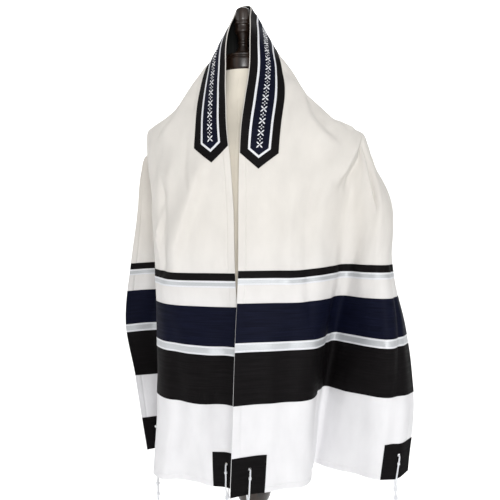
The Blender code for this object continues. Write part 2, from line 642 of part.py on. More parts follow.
def corner_string(name, net, eyelet):
    """The strings of one corner: a loop, a knotted cord and eight free strands."""
    route, head, facing = loop_route(net, eyelet)
    turn = math.atan2(facing.y, facing.x)

    vertices = []
    faces = []
    closed_tube(vertices, faces, tube_rings(route, LEG_HALF, facing.cross(Vector((0, 0, 1)))))
    bottom = head.z - KNOT_HEIGHTS[-1] - KNOT_LENGTH
    for k in range(STRAND_COUNT):
        angle = turn + 2 * math.pi * k / STRAND_COUNT
        outward = Vector((math.cos(angle), math.sin(angle), 0))
        strand = []
        for step in range(STRAND_STEPS + 1):
            share = step / STRAND_STEPS
            reach = STRAND_RING + STRAND_SPREAD * share ** 1.5 * (1 if k % 2 else 0.6)
            z = bottom + STRAND_ROOT - (STRAND_LENGTH + STRAND_ROOT) * share
            strand.append(Vector((head.x, head.y, z)) + outward * reach)
        closed_tube(vertices, faces, tube_rings(strand, STRAND_HALF, outward))
    loose = add_object(name + "_loose", vertices, faces, "white")
    loose.hide_render = True
    loose.display_type = "WIRE"

    rings = []
    for depth in KNOT_HEIGHTS:
        for radius, drop in ((CORD_RADIUS, 0), (KNOT_RADIUS, 0.25),
                             (KNOT_RADIUS, 0.75), (CORD_RADIUS, 1)):
            rings.append([Vector((head.x + radius * math.cos(turn + 2 * math.pi * k / CORD_SIDES),
                                  head.y + radius * math.sin(turn + 2 * math.pi * k / CORD_SIDES),
                                  head.z - depth - KNOT_LENGTH * drop))
                          for k in range(CORD_SIDES)])
    cord = rings_object(name, rings, "white")
    union = cord.modifiers.new("strands", "BOOLEAN")
    union.operation = "UNION"
    union.object = loose


def rings_object(name, rings, colour):
    """Join rings of equal length, listed from the top down, and close both ends."""
    sides = len(rings[0])
    vertices = [point for ring in rings for point in ring]
    faces = []
    for row in range(len(rings) - 1):
        for k in range(sides):
            a = row * sides + k
            b = row * sides + (k + 1) % sides
            faces.append((a, a + sides, b + sides, b))
    faces.append(tuple(range(sides)))
    last = (len(rings) - 1) * sides
    faces.append(tuple(last + k for k in reversed(range(sides))))
    return add_object(name, vertices, faces, colour)


def turned_object(name, profile, centre_y, colour):
    """A wooden piece turned round an upright axis."""
    rings = []
    for radius, z in profile:
        rings.append([Vector((radius * math.cos(2 * math.pi * k / TURNED_SIDES),
                              centre_y + radius * math.sin(2 * math.pi * k / TURNED_SIDES), z))
                      for k in range(TURNED_SIDES)])
    return rings_object(name, rings, colour)


def build_form():
    """The limbless dress form: body, neck finial, pole and round base."""
    rings = []
    for z, half_width, half_depth, centre_y, chest in TORSO_SECTIONS:
        ring = []
        for k in range(TORSO_SIDES):
            angle = 2 * math.pi * k / TORSO_SIDES
            c = math.cos(angle)
            s = math.sin(angle)
            power = 2 / TORSO_SQUARENESS
            forward = chest * max(0.0, -s) ** CHEST_SHARPNESS
            y = centre_y + half_depth * math.copysign(abs(s) ** power, s) - forward
            ring.append(Vector((half_width * math.copysign(abs(c) ** power, c), y, z)))
        rings.append(ring)
    rings_object("form_body", rings, "jersey")
    turned_object("form_neck_finial", FINIAL_PROFILE, NECK_CENTRE_Y, "wood")
    turned_object("form_pole", HUB_PROFILE, FORM_CENTRE_Y, "wood")
    turned_object("form_base", BASE_PROFILE, FORM_CENTRE_Y, "wood")


def main():
    """Build the shawl and the form that carries it."""
    clear_scene()
    net = ClothNet(Drape())
    build_shawl(net)
    for name, eyelet in zip(("left_front", "left_side", "right_front", "right_side"), eyelets()):
        corner_string("corner_string_" + name, net, eyelet)
    build_form()


if __name__ == "__main__":
    main()
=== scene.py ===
"""A draped tallit (prayer shawl) with its corner strings, over a limbless dress form.

Lengths in the tables are in centimetres, and everything that reaches Blender is in
metres. A point of the cloth is named by two lengths on the flat cloth: "along", from
the centre back to the two hems (negative on the left half), and "across", from the
neck edge to the free edge. The tables say where lines across the cloth hang in space,
and all that is sewn on the cloth is laid on the same surface.
"""

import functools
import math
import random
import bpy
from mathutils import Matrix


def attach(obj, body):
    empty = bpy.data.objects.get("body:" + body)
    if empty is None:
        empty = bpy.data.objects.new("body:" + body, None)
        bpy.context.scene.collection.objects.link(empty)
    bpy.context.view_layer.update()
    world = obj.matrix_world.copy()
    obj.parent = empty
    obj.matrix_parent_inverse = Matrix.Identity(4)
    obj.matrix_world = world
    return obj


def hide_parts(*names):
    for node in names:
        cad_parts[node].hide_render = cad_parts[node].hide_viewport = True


bl_info = {
    "name": "Tallit on a Dress Form",
    "version": (1, 0, 0),
    "blender": (4, 5, 0),
    "location": "View3D > Sidebar > Tallit",
    "description": "Drapes a prayer shawl with its bands, neckband and corner strings over a dress form",
    "category": "Add Mesh",
}

import bpy
import numpy as np
from bpy.props import FloatProperty, FloatVectorProperty, IntProperty, PointerProperty
from bpy.types import Operator, Panel, PropertyGroup
from mathutils import Vector

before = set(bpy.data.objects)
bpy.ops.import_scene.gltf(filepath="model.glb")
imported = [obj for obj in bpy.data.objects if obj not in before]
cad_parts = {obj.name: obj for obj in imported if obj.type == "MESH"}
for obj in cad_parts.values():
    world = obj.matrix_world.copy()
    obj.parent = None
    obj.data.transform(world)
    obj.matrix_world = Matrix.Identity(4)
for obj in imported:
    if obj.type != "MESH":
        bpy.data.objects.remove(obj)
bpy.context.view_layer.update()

CM = 0.01

# Flat sizes of the shawl.
HALF_LENGTH = 91.5
WIDTH = 46.0
SIDE_HEM = 1.2
END_HEM = 0.8
PATCH_SIDE = 6.0

# Eyelets: the middle's height above the hem and distance from the side, then how the
# hole is worked: its radius, in a square of this half side, with rings of quads between.
EYELET_HEIGHT = 4.0
EYELET_ASIDE = 3.1
EYELETS = [(side * (HALF_LENGTH - EYELET_HEIGHT), across) for side in (-1, 1)
           for across in (EYELET_ASIDE, WIDTH - EYELET_ASIDE)]
EYELET_RADIUS = 0.24
EYELET_HALF = 0.75
EYELET_RINGS = 4

# Grid steps: the surface itself, the layers along and across the cloth, and across it
# up to the width that faces forwards.
FINE_STEP = 0.25
ALONG_STEP = 0.6
GRID_STEP = 0.5
FRONT_STEP = 0.3
FRONT_WIDTH = 27.0
TINY = 1e-6

# Bands, as heights above the hem.
BANDS = {
    "band_black_wide": (14.0, 22.3),
    "ribbon_silver_wide": (22.3, 23.8),
    "band_navy": (23.8, 30.6),
    "ribbon_silver_narrow": (33.8, 35.0),
    "band_black_narrow": (35.0, 36.3),
}

# The neckband: its middle along the cloth, half length to its corners, length of its
# points and edges across; then the braid's distance from its edge, and width.
NECKBAND_SHIFT = 0.75
NECKBAND_CORNER = 34.55
NECKBAND_POINT = 2.7
NECKBAND_ACROSS = (0.1, 7.1)
NECKBAND_HALF = (NECKBAND_ACROSS[1] - NECKBAND_ACROSS[0]) / 2
# Across this reach, along the neckband's length, the cloth's back is painted dark. Behind the neckband
# this is partly its black showing through the thin wool and mostly painted shade. Past the neckband's
# edge it is only painted shade.
SHOW_THROUGH_AND_SHADE_ACROSS = (0.2, 10.5)
TRIM_INSET = 1.45
TRIM_WIDTH = 0.4

# Lines across the cloth. Each row: along, then points (across, x, y, z). The first
# table serves both sides, mirrored in x.
SHOULDER_LINES = (
    (0.0, ((0, 0, -0.8, 160.2), (3.5, 0, 0.6, 157.2), (7, 0, 1.9, 154.1),
           (14, 0, 4.5, 147.6), (22, 0, 7.6, 140.3), (30, 0, 9.8, 132.6),
           (38, 0, 10.8, 124.7), (46, 0, 11.2, 116.7))),
    (3.0, ((0, 1.15, -2.2, 159.5), (3.5, 2.5, -0.7, 156.6), (7, 2.9, 1.0, 153.8),
           (14, 3.2, 4.0, 147.3), (22, 3.3, 7.3, 140.0), (30, 3.3, 9.5, 132.4),
           (38, 3.2, 10.6, 124.8), (46, 3.0, 11.1, 117.2))),
    (7.0, ((0, 1.6, -4.6, 156.9), (3.5, 3.5, -2.2, 154.8), (7, 5.0, -0.4, 152.2),
           (14, 6.0, 2.5, 146.7), (22, 6.8, 6.2, 139.9), (30, 7.1, 9.0, 132.4),
           (38, 7.2, 10.3, 125.0), (46, 7.0, 10.9, 118.6))),
    (13.0, ((0, 2.1, -7.3, 152.6), (3.5, 4.5, -5.3, 151.1), (7, 6.4, -3.1, 149.6),
            (8.6, 7.5, -2.2, 148.9), (10, 8.3, -1.1, 147.9), (14, 9.6, 1.6, 144.9),
            (18, 10.7, 3.9, 141.7), (24, 11.9, 6.6, 136.8), (31, 12.7, 8.3, 131.2),
            (38, 12.8, 9.4, 126.0), (46, 12.6, 10.2, 121.6))),
)
RIGHT_LINES = (
    (19.0, ((0, 2.15, -8.3, 147.2), (3.5, 4.9, -6.2, 146.7), (7, 7.1, -3.9, 146.8),
            (8.6, 8.2, -3.0, 146.2), (10, 8.9, -2.0, 145.2), (14, 11.4, 0.4, 142.6),
            (18, 13.6, 2.5, 139.6), (24, 15.4, 4.8, 135.7), (31, 16.3, 6.5, 131.7),
            (38, 16.5, 7.6, 128.4), (46, 16.3, 8.5, 125.4))),
    (25.0, ((0, 1.7, -10.0, 141.9), (3.5, 4.8, -8.2, 141.6), (7, 7.8, -6.2, 141.8),
            (11, 11.4, -4.3, 142.2), (14, 13.8, -3.2, 140.3), (18, 16.5, -1.2, 137.9),
            (24, 18.4, 1.5, 135.8), (32, 18.9, 3.8, 133.4), (39, 18.9, 5.0, 131.4),
            (46, 18.6, 6.0, 129.4))),
    (30.0, ((0, 1.25, -11.3, 136.9), (3.5, 4.5, -10.2, 136.7), (7, 7.6, -8.7, 136.7),
            (11, 11.3, -7.4, 137.0), (15, 15.2, -5.4, 137.3), (19.5, 18.6, -2.3, 136.6),
            (25, 20.2, 0.0, 136.2), (31, 21.0, 1.6, 135.7), (38, 21.4, 2.9, 134.1),
            (46, 21.5, 3.6, 132.4))),
    (36.0, ((0, 1.05, -12.1, 131.2), (6, 6.5, -10.9, 131.0), (11, 11.3, -9.3, 131.2),
            (15, 15.4, -7.0, 131.6), (20, 19.2, -3.6, 131.8), (27, 21.5, -2.0, 131.4),
            (33, 22.4, 0.2, 131.0), (37, 22.3, 1.9, 130.6), (41, 22.8, 2.9, 130.1),
            (46, 23.3, 3.4, 129.2))),
    (44.0, ((0, 1.0, -12.9, 123.2), (6, 6.6, -11.9, 123.2), (11, 11.3, -10.6, 123.4),
            (15, 14.8, -8.8, 123.8), (19, 17.4, -5.8, 124.0), (23, 18.9, -4.1, 124.0),
            (28, 22.0, -4.5, 124.0), (33, 24.2, -3.9, 123.8), (38, 25.5, -2.2, 123.6),
            (42, 25.9, 0.6, 123.2), (46, 25.6, 3.2, 122.6))),
    (55.2, ((0, 1.1, -14.2, 112.0), (6, 6.7, -12.9, 112.0), (11, 11.3, -11.6, 112.0),
            (14, 13.8, -10.2, 112.2), (18, 16.0, -7.2, 112.4), (22, 17.3, -4.6, 112.5),
            (25, 19.0, -4.0, 112.5), (29, 21.3, -6.0, 112.5), (33, 23.5, -6.8, 112.5),
            (38, 25.4, -5.2, 112.4), (42, 25.9, -2.2, 112.3), (46, 25.8, 0.9, 112.0))),
    (67.7, ((0, 0.95, -16.4, 100.3), (6, 6.3, -14.2, 100.3), (11, 11.1, -12.4, 100.3),
            (14, 13.2, -11.0, 100.3), (18, 14.5, -7.6, 100.3), (22, 14.8, -3.9, 100.3),
            (24.5, 16.0, -2.8, 100.3), (27, 17.9, -4.2, 100.3), (32, 21.9, -7.6, 100.3),
            (38, 25.8, -9.0, 100.3), (42, 27.5, -6.2, 100.3), (46, 28.2, -2.6, 100.2))),
    (77.5, ((0, 1.0, -18.4, 90.5), (4, 4.6, -16.2, 90.5), (8, 7.9, -14.6, 90.5),
            (11.5, 10.8, -13.7, 90.5), (14, 12.5, -12.1, 90.5), (18, 13.1, -8.5, 90.5),
            (22, 12.9, -4.5, 90.5), (24.5, 13.8, -2.6, 90.5), (27, 15.7, -3.6, 90.5),
            (30, 17.8, -5.5, 90.5), (34, 21.0, -7.1, 90.5), (40, 25.6, -8.2, 90.4),
            (43, 28.0, -5.9, 90.4), (46, 29.3, -2.9, 90.3))),
    (91.5, ((0, 0.7, -19.9, 76.3), (3, 3.1, -17.9, 76.3), (6, 5.3, -15.9, 76.2),
            (9.5, 8.6, -14.2, 76.2), (12, 10.9, -13.1, 76.2), (14.5, 11.9, -11.0, 76.2),
            (18, 12.0, -7.6, 76.2), (22, 11.4, -3.8, 76.3), (25, 11.7, -1.6, 76.3),
            (27.5, 13.6, -2.9, 76.3), (30, 15.6, -4.0, 76.3), (34, 19.1, -5.4, 76.3),
            (40, 23.6, -7.5, 76.3), (43, 26.2, -7.1, 76.5), (46, 28.2, -4.9, 77.3))),
)
LEFT_LINES = (
    (19.0, ((0, -2.15, -8.3, 147.3), (3.5, -4.9, -6.2, 146.9), (7, -7.4, -3.9, 147.0),
            (8.6, -9.0, -3.3, 146.9), (10, -10.0, -2.5, 146.0), (14, -12.0, 0.2, 143.3),
            (18, -14.0, 2.6, 140.4), (24, -15.7, 4.8, 136.3), (31, -16.5, 6.5, 132.1),
            (38, -16.7, 7.6, 128.9), (46, -16.5, 8.5, 125.8))),
    (25.0, ((0, -1.7, -10.0, 141.9), (3.5, -4.8, -8.2, 141.7), (7, -7.8, -6.2, 141.9),
            (11, -11.5, -4.3, 142.3), (14, -13.8, -3.3, 140.6), (18, -16.7, -1.3, 138.9),
            (24, -18.6, 1.5, 137.0), (32, -19.0, 3.8, 134.4), (39, -18.9, 5.0, 132.2),
            (46, -18.8, 6.0, 130.1))),
    (30.0, ((0, -1.25, -11.3, 136.9), (3.5, -4.5, -10.2, 136.8), (7, -7.6, -8.7, 136.9),
            (11, -11.3, -7.4, 137.4), (15, -15.2, -5.4, 138.0), (19.5, -18.7, -2.2, 137.8),
            (25, -19.9, 0.0, 137.3), (31, -20.3, 1.6, 136.4), (38, -20.8, 3.4, 135.0),
            (46, -21.8, 4.0, 133.2))),
    (36.0, ((0, -0.5, -12.4, 131.0), (6, -6.2, -11.4, 130.8), (11, -11.0, -10.0, 131.0),
            (15, -14.8, -8.0, 131.4), (19, -17.8, -5.0, 131.6), (23, -19.1, -2.5, 131.5),
            (28, -19.6, 0.2, 131.3), (33, -19.2, 3.0, 131.0), (37, -19.4, 5.0, 130.7),
            (41, -21.3, 4.8, 130.2), (46, -23.0, 3.4, 129.6))),
    (44.0, ((0, 0.1, -12.9, 123.0), (6, -5.8, -12.2, 123.0), (11, -10.6, -11.2, 123.0),
            (15, -14.2, -9.4, 123.3), (18.5, -16.9, -6.6, 123.6), (22, -17.9, -3.2, 123.8),
            (28, -18.2, 1.2, 123.8), (33, -18.1, 4.9, 123.6), (36.5, -18.9, 6.8, 123.4),
            (41, -21.4, 5.8, 123.1), (46, -23.9, 3.8, 122.6))),
    (55.2, ((0, 0.3, -13.0, 111.5), (6, -5.6, -12.7, 111.5), (11, -10.4, -12.0, 111.5),
            (15, -13.8, -10.2, 111.6), (18.5, -16.1, -7.4, 111.8), (22, -16.8, -3.8, 112.0),
            (26, -16.9, 0.3, 112.0), (31, -16.9, 4.9, 112.0), (34.5, -17.8, 7.4, 112.0),
            (38, -19.6, 6.9, 112.1), (42, -22.2, 5.2, 112.1), (46, -25.2, 3.0, 112.0))),
    (67.7, ((0, 0.8, -13.2, 99.0), (6, -4.6, -12.8, 99.1), (11, -9.2, -12.6, 99.2),
            (15, -12.9, -10.8, 99.3), (18.5, -15.8, -7.6, 99.4), (22, -16.4, -4.0, 99.5),
            (27, -16.2, 0.7, 99.6), (32, -16.3, 5.5, 99.7), (34.8, -17.6, 7.5, 99.8),
            (38, -19.9, 6.7, 99.9), (42, -23.0, 4.6, 100.0), (46, -26.1, 2.2, 99.9))),
    (77.5, ((0, 0.95, -13.3, 89.0), (5, -3.6, -12.6, 89.2), (9, -6.5, -13.4, 89.3),
            (13, -10.0, -12.7, 89.3), (16.5, -13.1, -10.9, 89.3), (20, -15.9, -7.5, 89.4),
            (24, -16.0, -3.5, 89.5), (29, -15.9, 1.4, 89.6), (33, -16.0, 5.2, 89.6),
            (36, -17.2, 7.5, 89.5), (39, -19.2, 6.1, 89.7), (43, -21.9, 3.4, 89.9),
            (46, -23.9, 1.3, 90.1))),
    (91.5, ((0, 0.6, -13.0, 74.8), (6, -4.3, -11.7, 74.9), (10, -7.4, -11.3, 75.1),
            (13, -10.6, -11.4, 75.2), (16, -13.7, -11.4, 75.2), (19, -16.1, -9.6, 75.3),
            (23, -16.7, -6.0, 75.4), (29, -16.7, 0.0, 75.5), (33.5, -16.6, 4.4, 75.4),
            (36, -17.3, 6.3, 75.2), (38.5, -18.3, 5.3, 75.3), (42, -19.5, 2.8, 75.8),
            (46, -20.9, -0.6, 76.3))),
)

# Creases along straight lines. Each row: side (0 is both), then the line's two ends
# (along, across), half width and height (outwards when positive).
CREASES = (
    (0, 27, 26, 6, 22, 2.0, -0.45),
    (0, 27, 30, 5, 31, 2.2, 0.55),
    (0, 27, 36, 6, 39, 2.2, -0.50),
    (-1, 31, 10, 56, 17, 1.4, 0.45),
    (-1, 30, 14, 46, 20, 1.6, -0.40),
    (-1, 44, 17, 62, 17, 1.2, -0.30),
    (1, 21, 9, 31, 16, 1.5, -0.50),
    (1, 26, 12, 31, 19, 1.3, 0.3),
    (1, 31, 22, 46, 14, 1.6, 0.50),
    (1, 32, 26, 50, 24, 1.8, -0.2),
    (1, 32, 31, 54, 33, 1.8, 0.45),
)
CREASE_END = 0.3

# Folds along bent lines. Each row: side, half width towards the neck edge, half width
# away from it, height and the line's points (along, across).
FOLDS = (
    (1, 2.6, 0.7, 1.1, ((18, 8.9), (22.8, 9.9), (26.5, 10.7), (30.2, 12.6), (32.4, 13.9),
                       (34, 16), (35, 18.4))),
    (1, 0.5, 1.8, 0.3, ((26, 17), (29, 19.4), (31, 22))),
    (1, 1.8, 0.5, 0.9, ((31, 25.6), (34, 22.5), (37.2, 19.8), (42, 16.8))),
    (1, 0.5, 1.7, -0.8, ((31.6, 26.8), (35, 24.1), (38.3, 21.9), (43, 19.4))),
    (1, 0.4, 0.9, -0.6, ((32.2, 25.4), (34.5, 27.2), (40, 29.5), (48, 31.4))),
    (1, 2.0, 1.2, 0.6, ((38, 11), (48, 9), (60, 8.6))),
    (1, 0.9, 1.8, -0.5, ((37, 14), (46, 12.2), (58, 12.4), (68, 13.6))),
    (1, 1.8, 1.5, 0.36, ((62, 5.5), (76, 6.2), (98, 6.4))),
    (1, 1.5, 1.5, -0.32, ((60, 9), (78, 10.2), (98, 10.4))),
    (1, 1.3, 1.3, 0.36, ((60, 21.5), (76, 22), (98, 22))),
    (1, 1.2, 1.2, -0.36, ((64, 25), (80, 25.4), (98, 25))),
    (-1, 2.0, 0.4, 0.55, ((21.5, 9.2), (25.2, 10.7), (27, 11.5), (28.5, 12.3),
                          (30.8, 13.6), (33, 16.4))),
    (-1, 0.35, 0.9, -0.25, ((23.5, 11.2), (27, 12.5), (28.5, 13.3), (30.8, 14.6), (33.5, 17.6))),
    (-1, 0.5, 1.3, -0.4, ((14, 7.9), (18, 8), (23, 8.1), (28, 7.9))),
    (-1, 0.9, 2.6, 1.5, ((34, 4.2), (39.8, 6.3), (46.8, 9), (50, 10.1), (53, 11.2), (56, 12.2))),
    (-1, 1.8, 0.9, -1.1, ((38, 14.2), (44, 14.5), (50, 14.9), (58, 15.5))),
    (-1, 0.4, 0.4, 0.5, ((43, 14.2), (46, 15), (49, 16.1), (52.5, 16.9))),
    (-1, 0.35, 0.55, -0.3, ((46.5, 14.7), (50, 15.6), (54.5, 16.4))),
    (-1, 0.3, 0.3, -0.16, ((39, 0.6), (40, 1.8), (42.5, 5.5), (44, 9))),
    (-1, 0.6, 0.6, -0.2, ((30, 8.8), (36, 8.9), (43, 8))),
    (-1, 2.0, 2.0, 0.4, ((58, 6), (74, 6.8), (98, 7))),
    (-1, 1.4, 1.4, -0.3, ((62, 2.6), (78, 3), (98, 3.2))),
    (-1, 2.4, 1.6, -0.7, ((62, 12.8), (80, 13.6), (98, 13.8))),
    (1, 2.2, 0.8, 0.95, ((0.8, 25.5), (5, 26), (11, 28.4), (16, 33), (18, 38))),
    (1, 1.6, 0.6, 0.75, ((1, 34), (7, 34.8), (12, 37.4), (15.5, 41.4), (17, 46))),
    (-1, 2.0, 0.7, 0.9, ((1.2, 25.4), (5, 25.2), (10, 27), (14.5, 31.4), (17, 37))),
    (-1, 1.5, 0.6, 0.7, ((4, 36.4), (9, 37.4), (13, 40), (16, 45))),
    (1, 1.0, 0.8, -0.4, ((44, 39.5), (58, 40.8), (74, 41.4), (98, 41.6))),
    (-1, 1.2, 0.8, 0.5, ((42, 37.6), (56, 38), (72, 39.6), (98, 39))),
    (-1, 1.0, 0.7, 0.4, ((33, 35), (44, 34), (58, 34.6))),
)
FOLD_SAMPLES = 81
FOLD_END = 0.25
FOLD_REACH = 2.6

# Small waves all over the cloth: their number, shortest and longest, the height of the
# longest and the spread of their directions, in radians.
WAVE_COUNT = 26
WAVE_LENGTHS = (3.0, 11.0)
WAVE_HEIGHT = 0.018
WAVE_SPREAD = 0.5
WAVE_SEED = 7

# Layers, as heights over the middle of the cloth. The hem's profile gives the rise of
# the face at distances inside the hem's inner edge.
CLOTH_FACE = 0.04
HEM_PROFILE = ((0, 0.035), (0.1, -0.045), (0.28, 0))
HEM_BACK = 0.035
HEM_EASE = 0.01
LAYER_FROM = 0.075
LAYER_THICK = 0.04
LAYER_TOP = LAYER_FROM + LAYER_THICK

# Horizontal sections of the form's body: z, half width, half depth, centre y and how
# much further the chest stands forward in the middle. The jersey lies a little inside.
TORSO_SECTIONS = (
    (147.2, 3.7, 3.7, -3.6, 0.0),
    (145.0, 4.3, 4.4, -3.5, 0.0),
    (142.6, 5.6, 5.4, -3.0, 0.2),
    (140.6, 8.8, 6.1, -2.3, 0.3),
    (138.9, 13.0, 6.85, -1.6, 0.2),
    (137.4, 16.4, 7.1, -1.1, 0.6),
    (135.6, 18.1, 7.7, -0.8, 1.2),
    (132.5, 18.0, 8.7, -0.5, 1.5),
    (127.0, 16.9, 10.0, -0.2, 1.3),
    (120.0, 15.6, 10.7, 0.0, 1.2),
    (112.0, 14.2, 10.6, 0.0, 1.4),
    (104.0, 12.6, 9.6, 0.2, 2.3),
    (98.0, 11.6, 9.1, 0.4, 2.8),
    (90.0, 11.9, 10.0, 0.6, 2.1),
    (82.0, 11.6, 10.4, 0.6, 1.4),
    (78.4, 11.2, 10.1, 0.6, 1.3),
    (78.0, 10.8, 9.7, 0.6, 1.3),
)
TORSO_SQUARENESS = 2.25
CHEST_SHARPNESS = 6
TORSO_INSET = 0.12

# Turned profiles: radius and z, from the top down.
FINIAL_PROFILE = (
    (0.8, 158.9), (1.2, 158.7), (1.36, 157.9), (1.42, 156.6), (1.3, 156.35),
    (1.52, 156.15), (1.52, 155.9), (1.3, 155.65), (1.38, 155.1), (1.52, 154.7),
    (1.52, 154.45), (1.15, 154.1), (0.9, 153.2), (0.8, 152.9), (1.1, 152.5),
    (0.8, 152.1), (1.0, 151.5), (1.6, 150.6), (3.0, 150.25), (3.4, 150.1),
    (3.4, 149.85), (3.1, 149.65), (3.45, 149.3), (3.5, 147.6), (3.3, 147.23),
)
HUB_PROFILE = (
    (6.0, 77.97), (6.0, 76.8), (5.2, 75.9), (4.4, 74.8), (3.7, 72.6), (3.45, 70.4),
    (2.9, 68.7), (1.9, 67.2), (2.1, 66.4), (2.1, 65.8), (1.55, 65.2),
    (1.55, 9.6),
)
BASE_PROFILE = (
    (2.2, 9.57), (2.9, 9.0), (2.9, 8.2), (2.1, 7.4), (2.4, 5.2), (4.8, 4.1),
    (11.0, 3.3), (15.4, 2.6), (16.4, 1.9), (16.6, 1.0), (16.3, 0.0),
)
NECK_CENTRE_Y = -3.6

# The loop of a corner string: where it lies in the eyelet, its heights over both faces of
# the cloth, how it turns in and closes, and the first knot's place and size.
LOOP_BELOW_CENTRE = 0.1
LOOP_FRONT = 0.43
LOOP_BACK = -0.40
LOOP_TURN = 0.8
LOOP_BENDS = (0.55, 0.6)
LOOP_CLOSE = 0.1
LOOP_STEP = 0.12
FIRST_KNOT_BELOW = 1.35
FIRST_KNOT_LIFT = 0.02
FIRST_KNOT_WIDE = 0.62
FIRST_KNOT_LONG = 0.6

# Its knotted cord: place below the hem, knots' depths below its head, and windings
# between them.
CORD_BELOW_HEM = 1.2
KNOT_LENGTH = 0.7
KNOT_DEPTHS = (0.0, 1.7, 3.5, 5.4, 7.4)
WINDINGS = (7, 8, 11, 13)
WINDING_GAP = 0.08
WINDING_STEPS = 10
WINDING_THICK = 0.62
CORE_REACH = 0.1

# A double knot: level and tilt of its turns of cord, as shares of the knot's height and
# width, then their width and thickness as shares of its radius.
KNOT_TURNS = ((-0.30, 0.35), (0.0, -0.3), (0.30, 0.25))
KNOT_WIDE = 0.62
KNOT_THICK = 0.36
KNOT_OVERLAP = 1.05
KNOT_STEPS = 26

# Its free strands: length, the share of it that each has, where they start in the last
# knot, how far they stand apart at the top and by turns at the end, and how far they all
# swing; the waves' number, turns and sizes; and the small knots at the ends.
STRAND_LENGTH = 19.0
STRAND_SHARES = (0.93, 1.0)
STRAND_FROM = 0.6
STRAND_START = 0.13
STRAND_SPREADS = (0.48, 0.8)
STRAND_STEPS = 46
STRAND_WAVES = 4
STRAND_WAVE_TURNS = (2.0, 7.0)
STRAND_WAVE_SIZES = (0.04, 0.13)
SWAY = 0.1
END_KNOT_HALF = 0.12
END_KNOT_WIDE = 1.7
STRING_SEED = 40

# The camera: turned round the form, level, rolled a little and its frame shifted down.
CAMERA_AZIMUTH = 13.0
CAMERA_DISTANCE = 1.30
CAMERA_HEIGHT = 1.213
CAMERA_ROLL = 0.8
CAMERA_LENS = 50.076
CAMERA_SHIFT = -0.07


# ---------------------------------------------------------------- surfaces

def smooth_table(knots, rows, at):
    """A smooth curve through rows, one for each knot, read at many positions."""
    knots = np.asarray(knots, float)
    rows = np.asarray(rows, float)
    at = np.asarray(at, float)
    steps = np.diff(knots).reshape((-1,) + (1,) * (rows.ndim - 1))
    chords = np.diff(rows, axis=0) / steps
    inner = (chords[:-1] * steps[1:] + chords[1:] * steps[:-1]) / (steps[:-1] + steps[1:])
    slopes = np.concatenate([chords[:1], inner, chords[-1:]])
    index = np.clip(np.searchsorted(knots, at) - 1, 0, len(steps) - 1)
    step = steps[index]
    s = (at - knots[index]).reshape((-1,) + (1,) * (rows.ndim - 1)) / step
    return ((2 * s**3 - 3 * s**2 + 1) * rows[index] + (s**3 - 2 * s**2 + s) * step * slopes[index]
            + (3 * s**2 - 2 * s**3) * rows[index + 1] + (s**3 - s**2) * step * slopes[index + 1])


def smooth_step(low, high, value):
    """0 below low, 1 above high, with a soft change between."""
    t = np.clip((np.asarray(value, float) - low) / (high - low), 0, 1)
    return t * t * (3 - 2 * t)


def faded(share, reach):
    """1 along a line and 0 at its ends, with a soft change over a share of its length."""
    return smooth_step(0, reach, share) * smooth_step(0, reach, 1 - share)


def unit(vectors):
    """Rows of vectors, each made one long."""
    return vectors / np.maximum(np.linalg.norm(vectors, axis=-1, keepdims=True), 1e-9)


def lengths_along(route):
    """The length of a route up to each of its points."""
    return np.concatenate([[0], np.cumsum(np.linalg.norm(np.diff(route, axis=0), axis=1))])


# How far inside the last grid cell a point at the cloth's very edge is read.
CELL_MARGIN = 0.0001


class ClothSurface:
    """Where each point of the flat cloth hangs, in centimetres."""

    def __init__(self):
        self.alongs = np.arange(-HALF_LENGTH, HALF_LENGTH + TINY, FINE_STEP)
        self.acrosses = np.arange(0, WIDTH + TINY, FINE_STEP)
        halves = []
        for side, lines in ((-1, LEFT_LINES), (1, RIGHT_LINES)):
            knots = [line[0] for line in SHOULDER_LINES + lines]
            rows = []
            for along, points in SHOULDER_LINES + lines:
                row = smooth_table([p[0] for p in points], [p[1:] for p in points], self.acrosses)
                if along <= SHOULDER_LINES[-1][0]:
                    row[:, 0] *= side
                rows.append(row)
            # Two mirrored lines past the centre back keep the surface smooth across it.
            ghosts = [rows[k] * (-1, 1, 1) for k in (2, 1)]
            knots = [-knots[2], -knots[1]] + knots
            places = abs(self.alongs[self.alongs * side >= 0])
            halves.append(smooth_table(knots, ghosts + rows, places))
        self.points = np.concatenate([halves[0], halves[1][1:]])
        self.normals = self.slopes()
        along, across = np.meshgrid(self.alongs, self.acrosses, indexing="ij")
        lift = (crease_height(along, across) + fold_height(along, across)
                + wave_height(along, across))
        self.points = self.points + self.normals * lift[..., None]
        self.normals = self.slopes()

    def slopes(self):
        """Outward directions from the surface's slopes."""
        lengthwise = np.gradient(self.points, FINE_STEP, axis=0)
        widthwise = np.gradient(self.points, FINE_STEP, axis=1)
        return unit(np.cross(lengthwise, widthwise))

    def at(self, flat, height=0.0):
        """Points in space, in centimetres, for rows of (along, across) and a height over them."""
        flat = np.asarray(flat, float).reshape(-1, 2)
        last = np.array((len(self.alongs), len(self.acrosses))) - 1
        cells = np.clip((flat + (HALF_LENGTH, 0)) / FINE_STEP, 0, last - CELL_MARGIN)
        i, j = cells.astype(int).T
        u = (cells[:, 0] - i)[:, None]
        v = (cells[:, 1] - j)[:, None]

        def blend(grid):
            return ((1 - u) * (1 - v) * grid[i, j] + u * (1 - v) * grid[i + 1, j]
                    + (1 - u) * v * grid[i, j + 1] + u * v * grid[i + 1, j + 1])

        return blend(self.points) + unit(blend(self.normals)) * np.reshape(height, (-1, 1))


def crease_height(along, across):
    """How far the creases move points of the cloth outwards."""
    total = np.zeros_like(along)
    for side, along0, across0, along1, across1, half_width, height in CREASES:
        run = np.array((along1 - along0, across1 - across0), float)
        length = np.hypot(*run)
        share = ((abs(along) - along0) * run[0] + (across - across0) * run[1]) / length**2
        aside = (run[0] * (across - across0) - run[1] * (abs(along) - along0)) / length
        shape = height * faded(share, CREASE_END) * np.exp(-(aside / half_width) ** 2)
        total += np.where(side * along < 0, 0, shape)
    return total


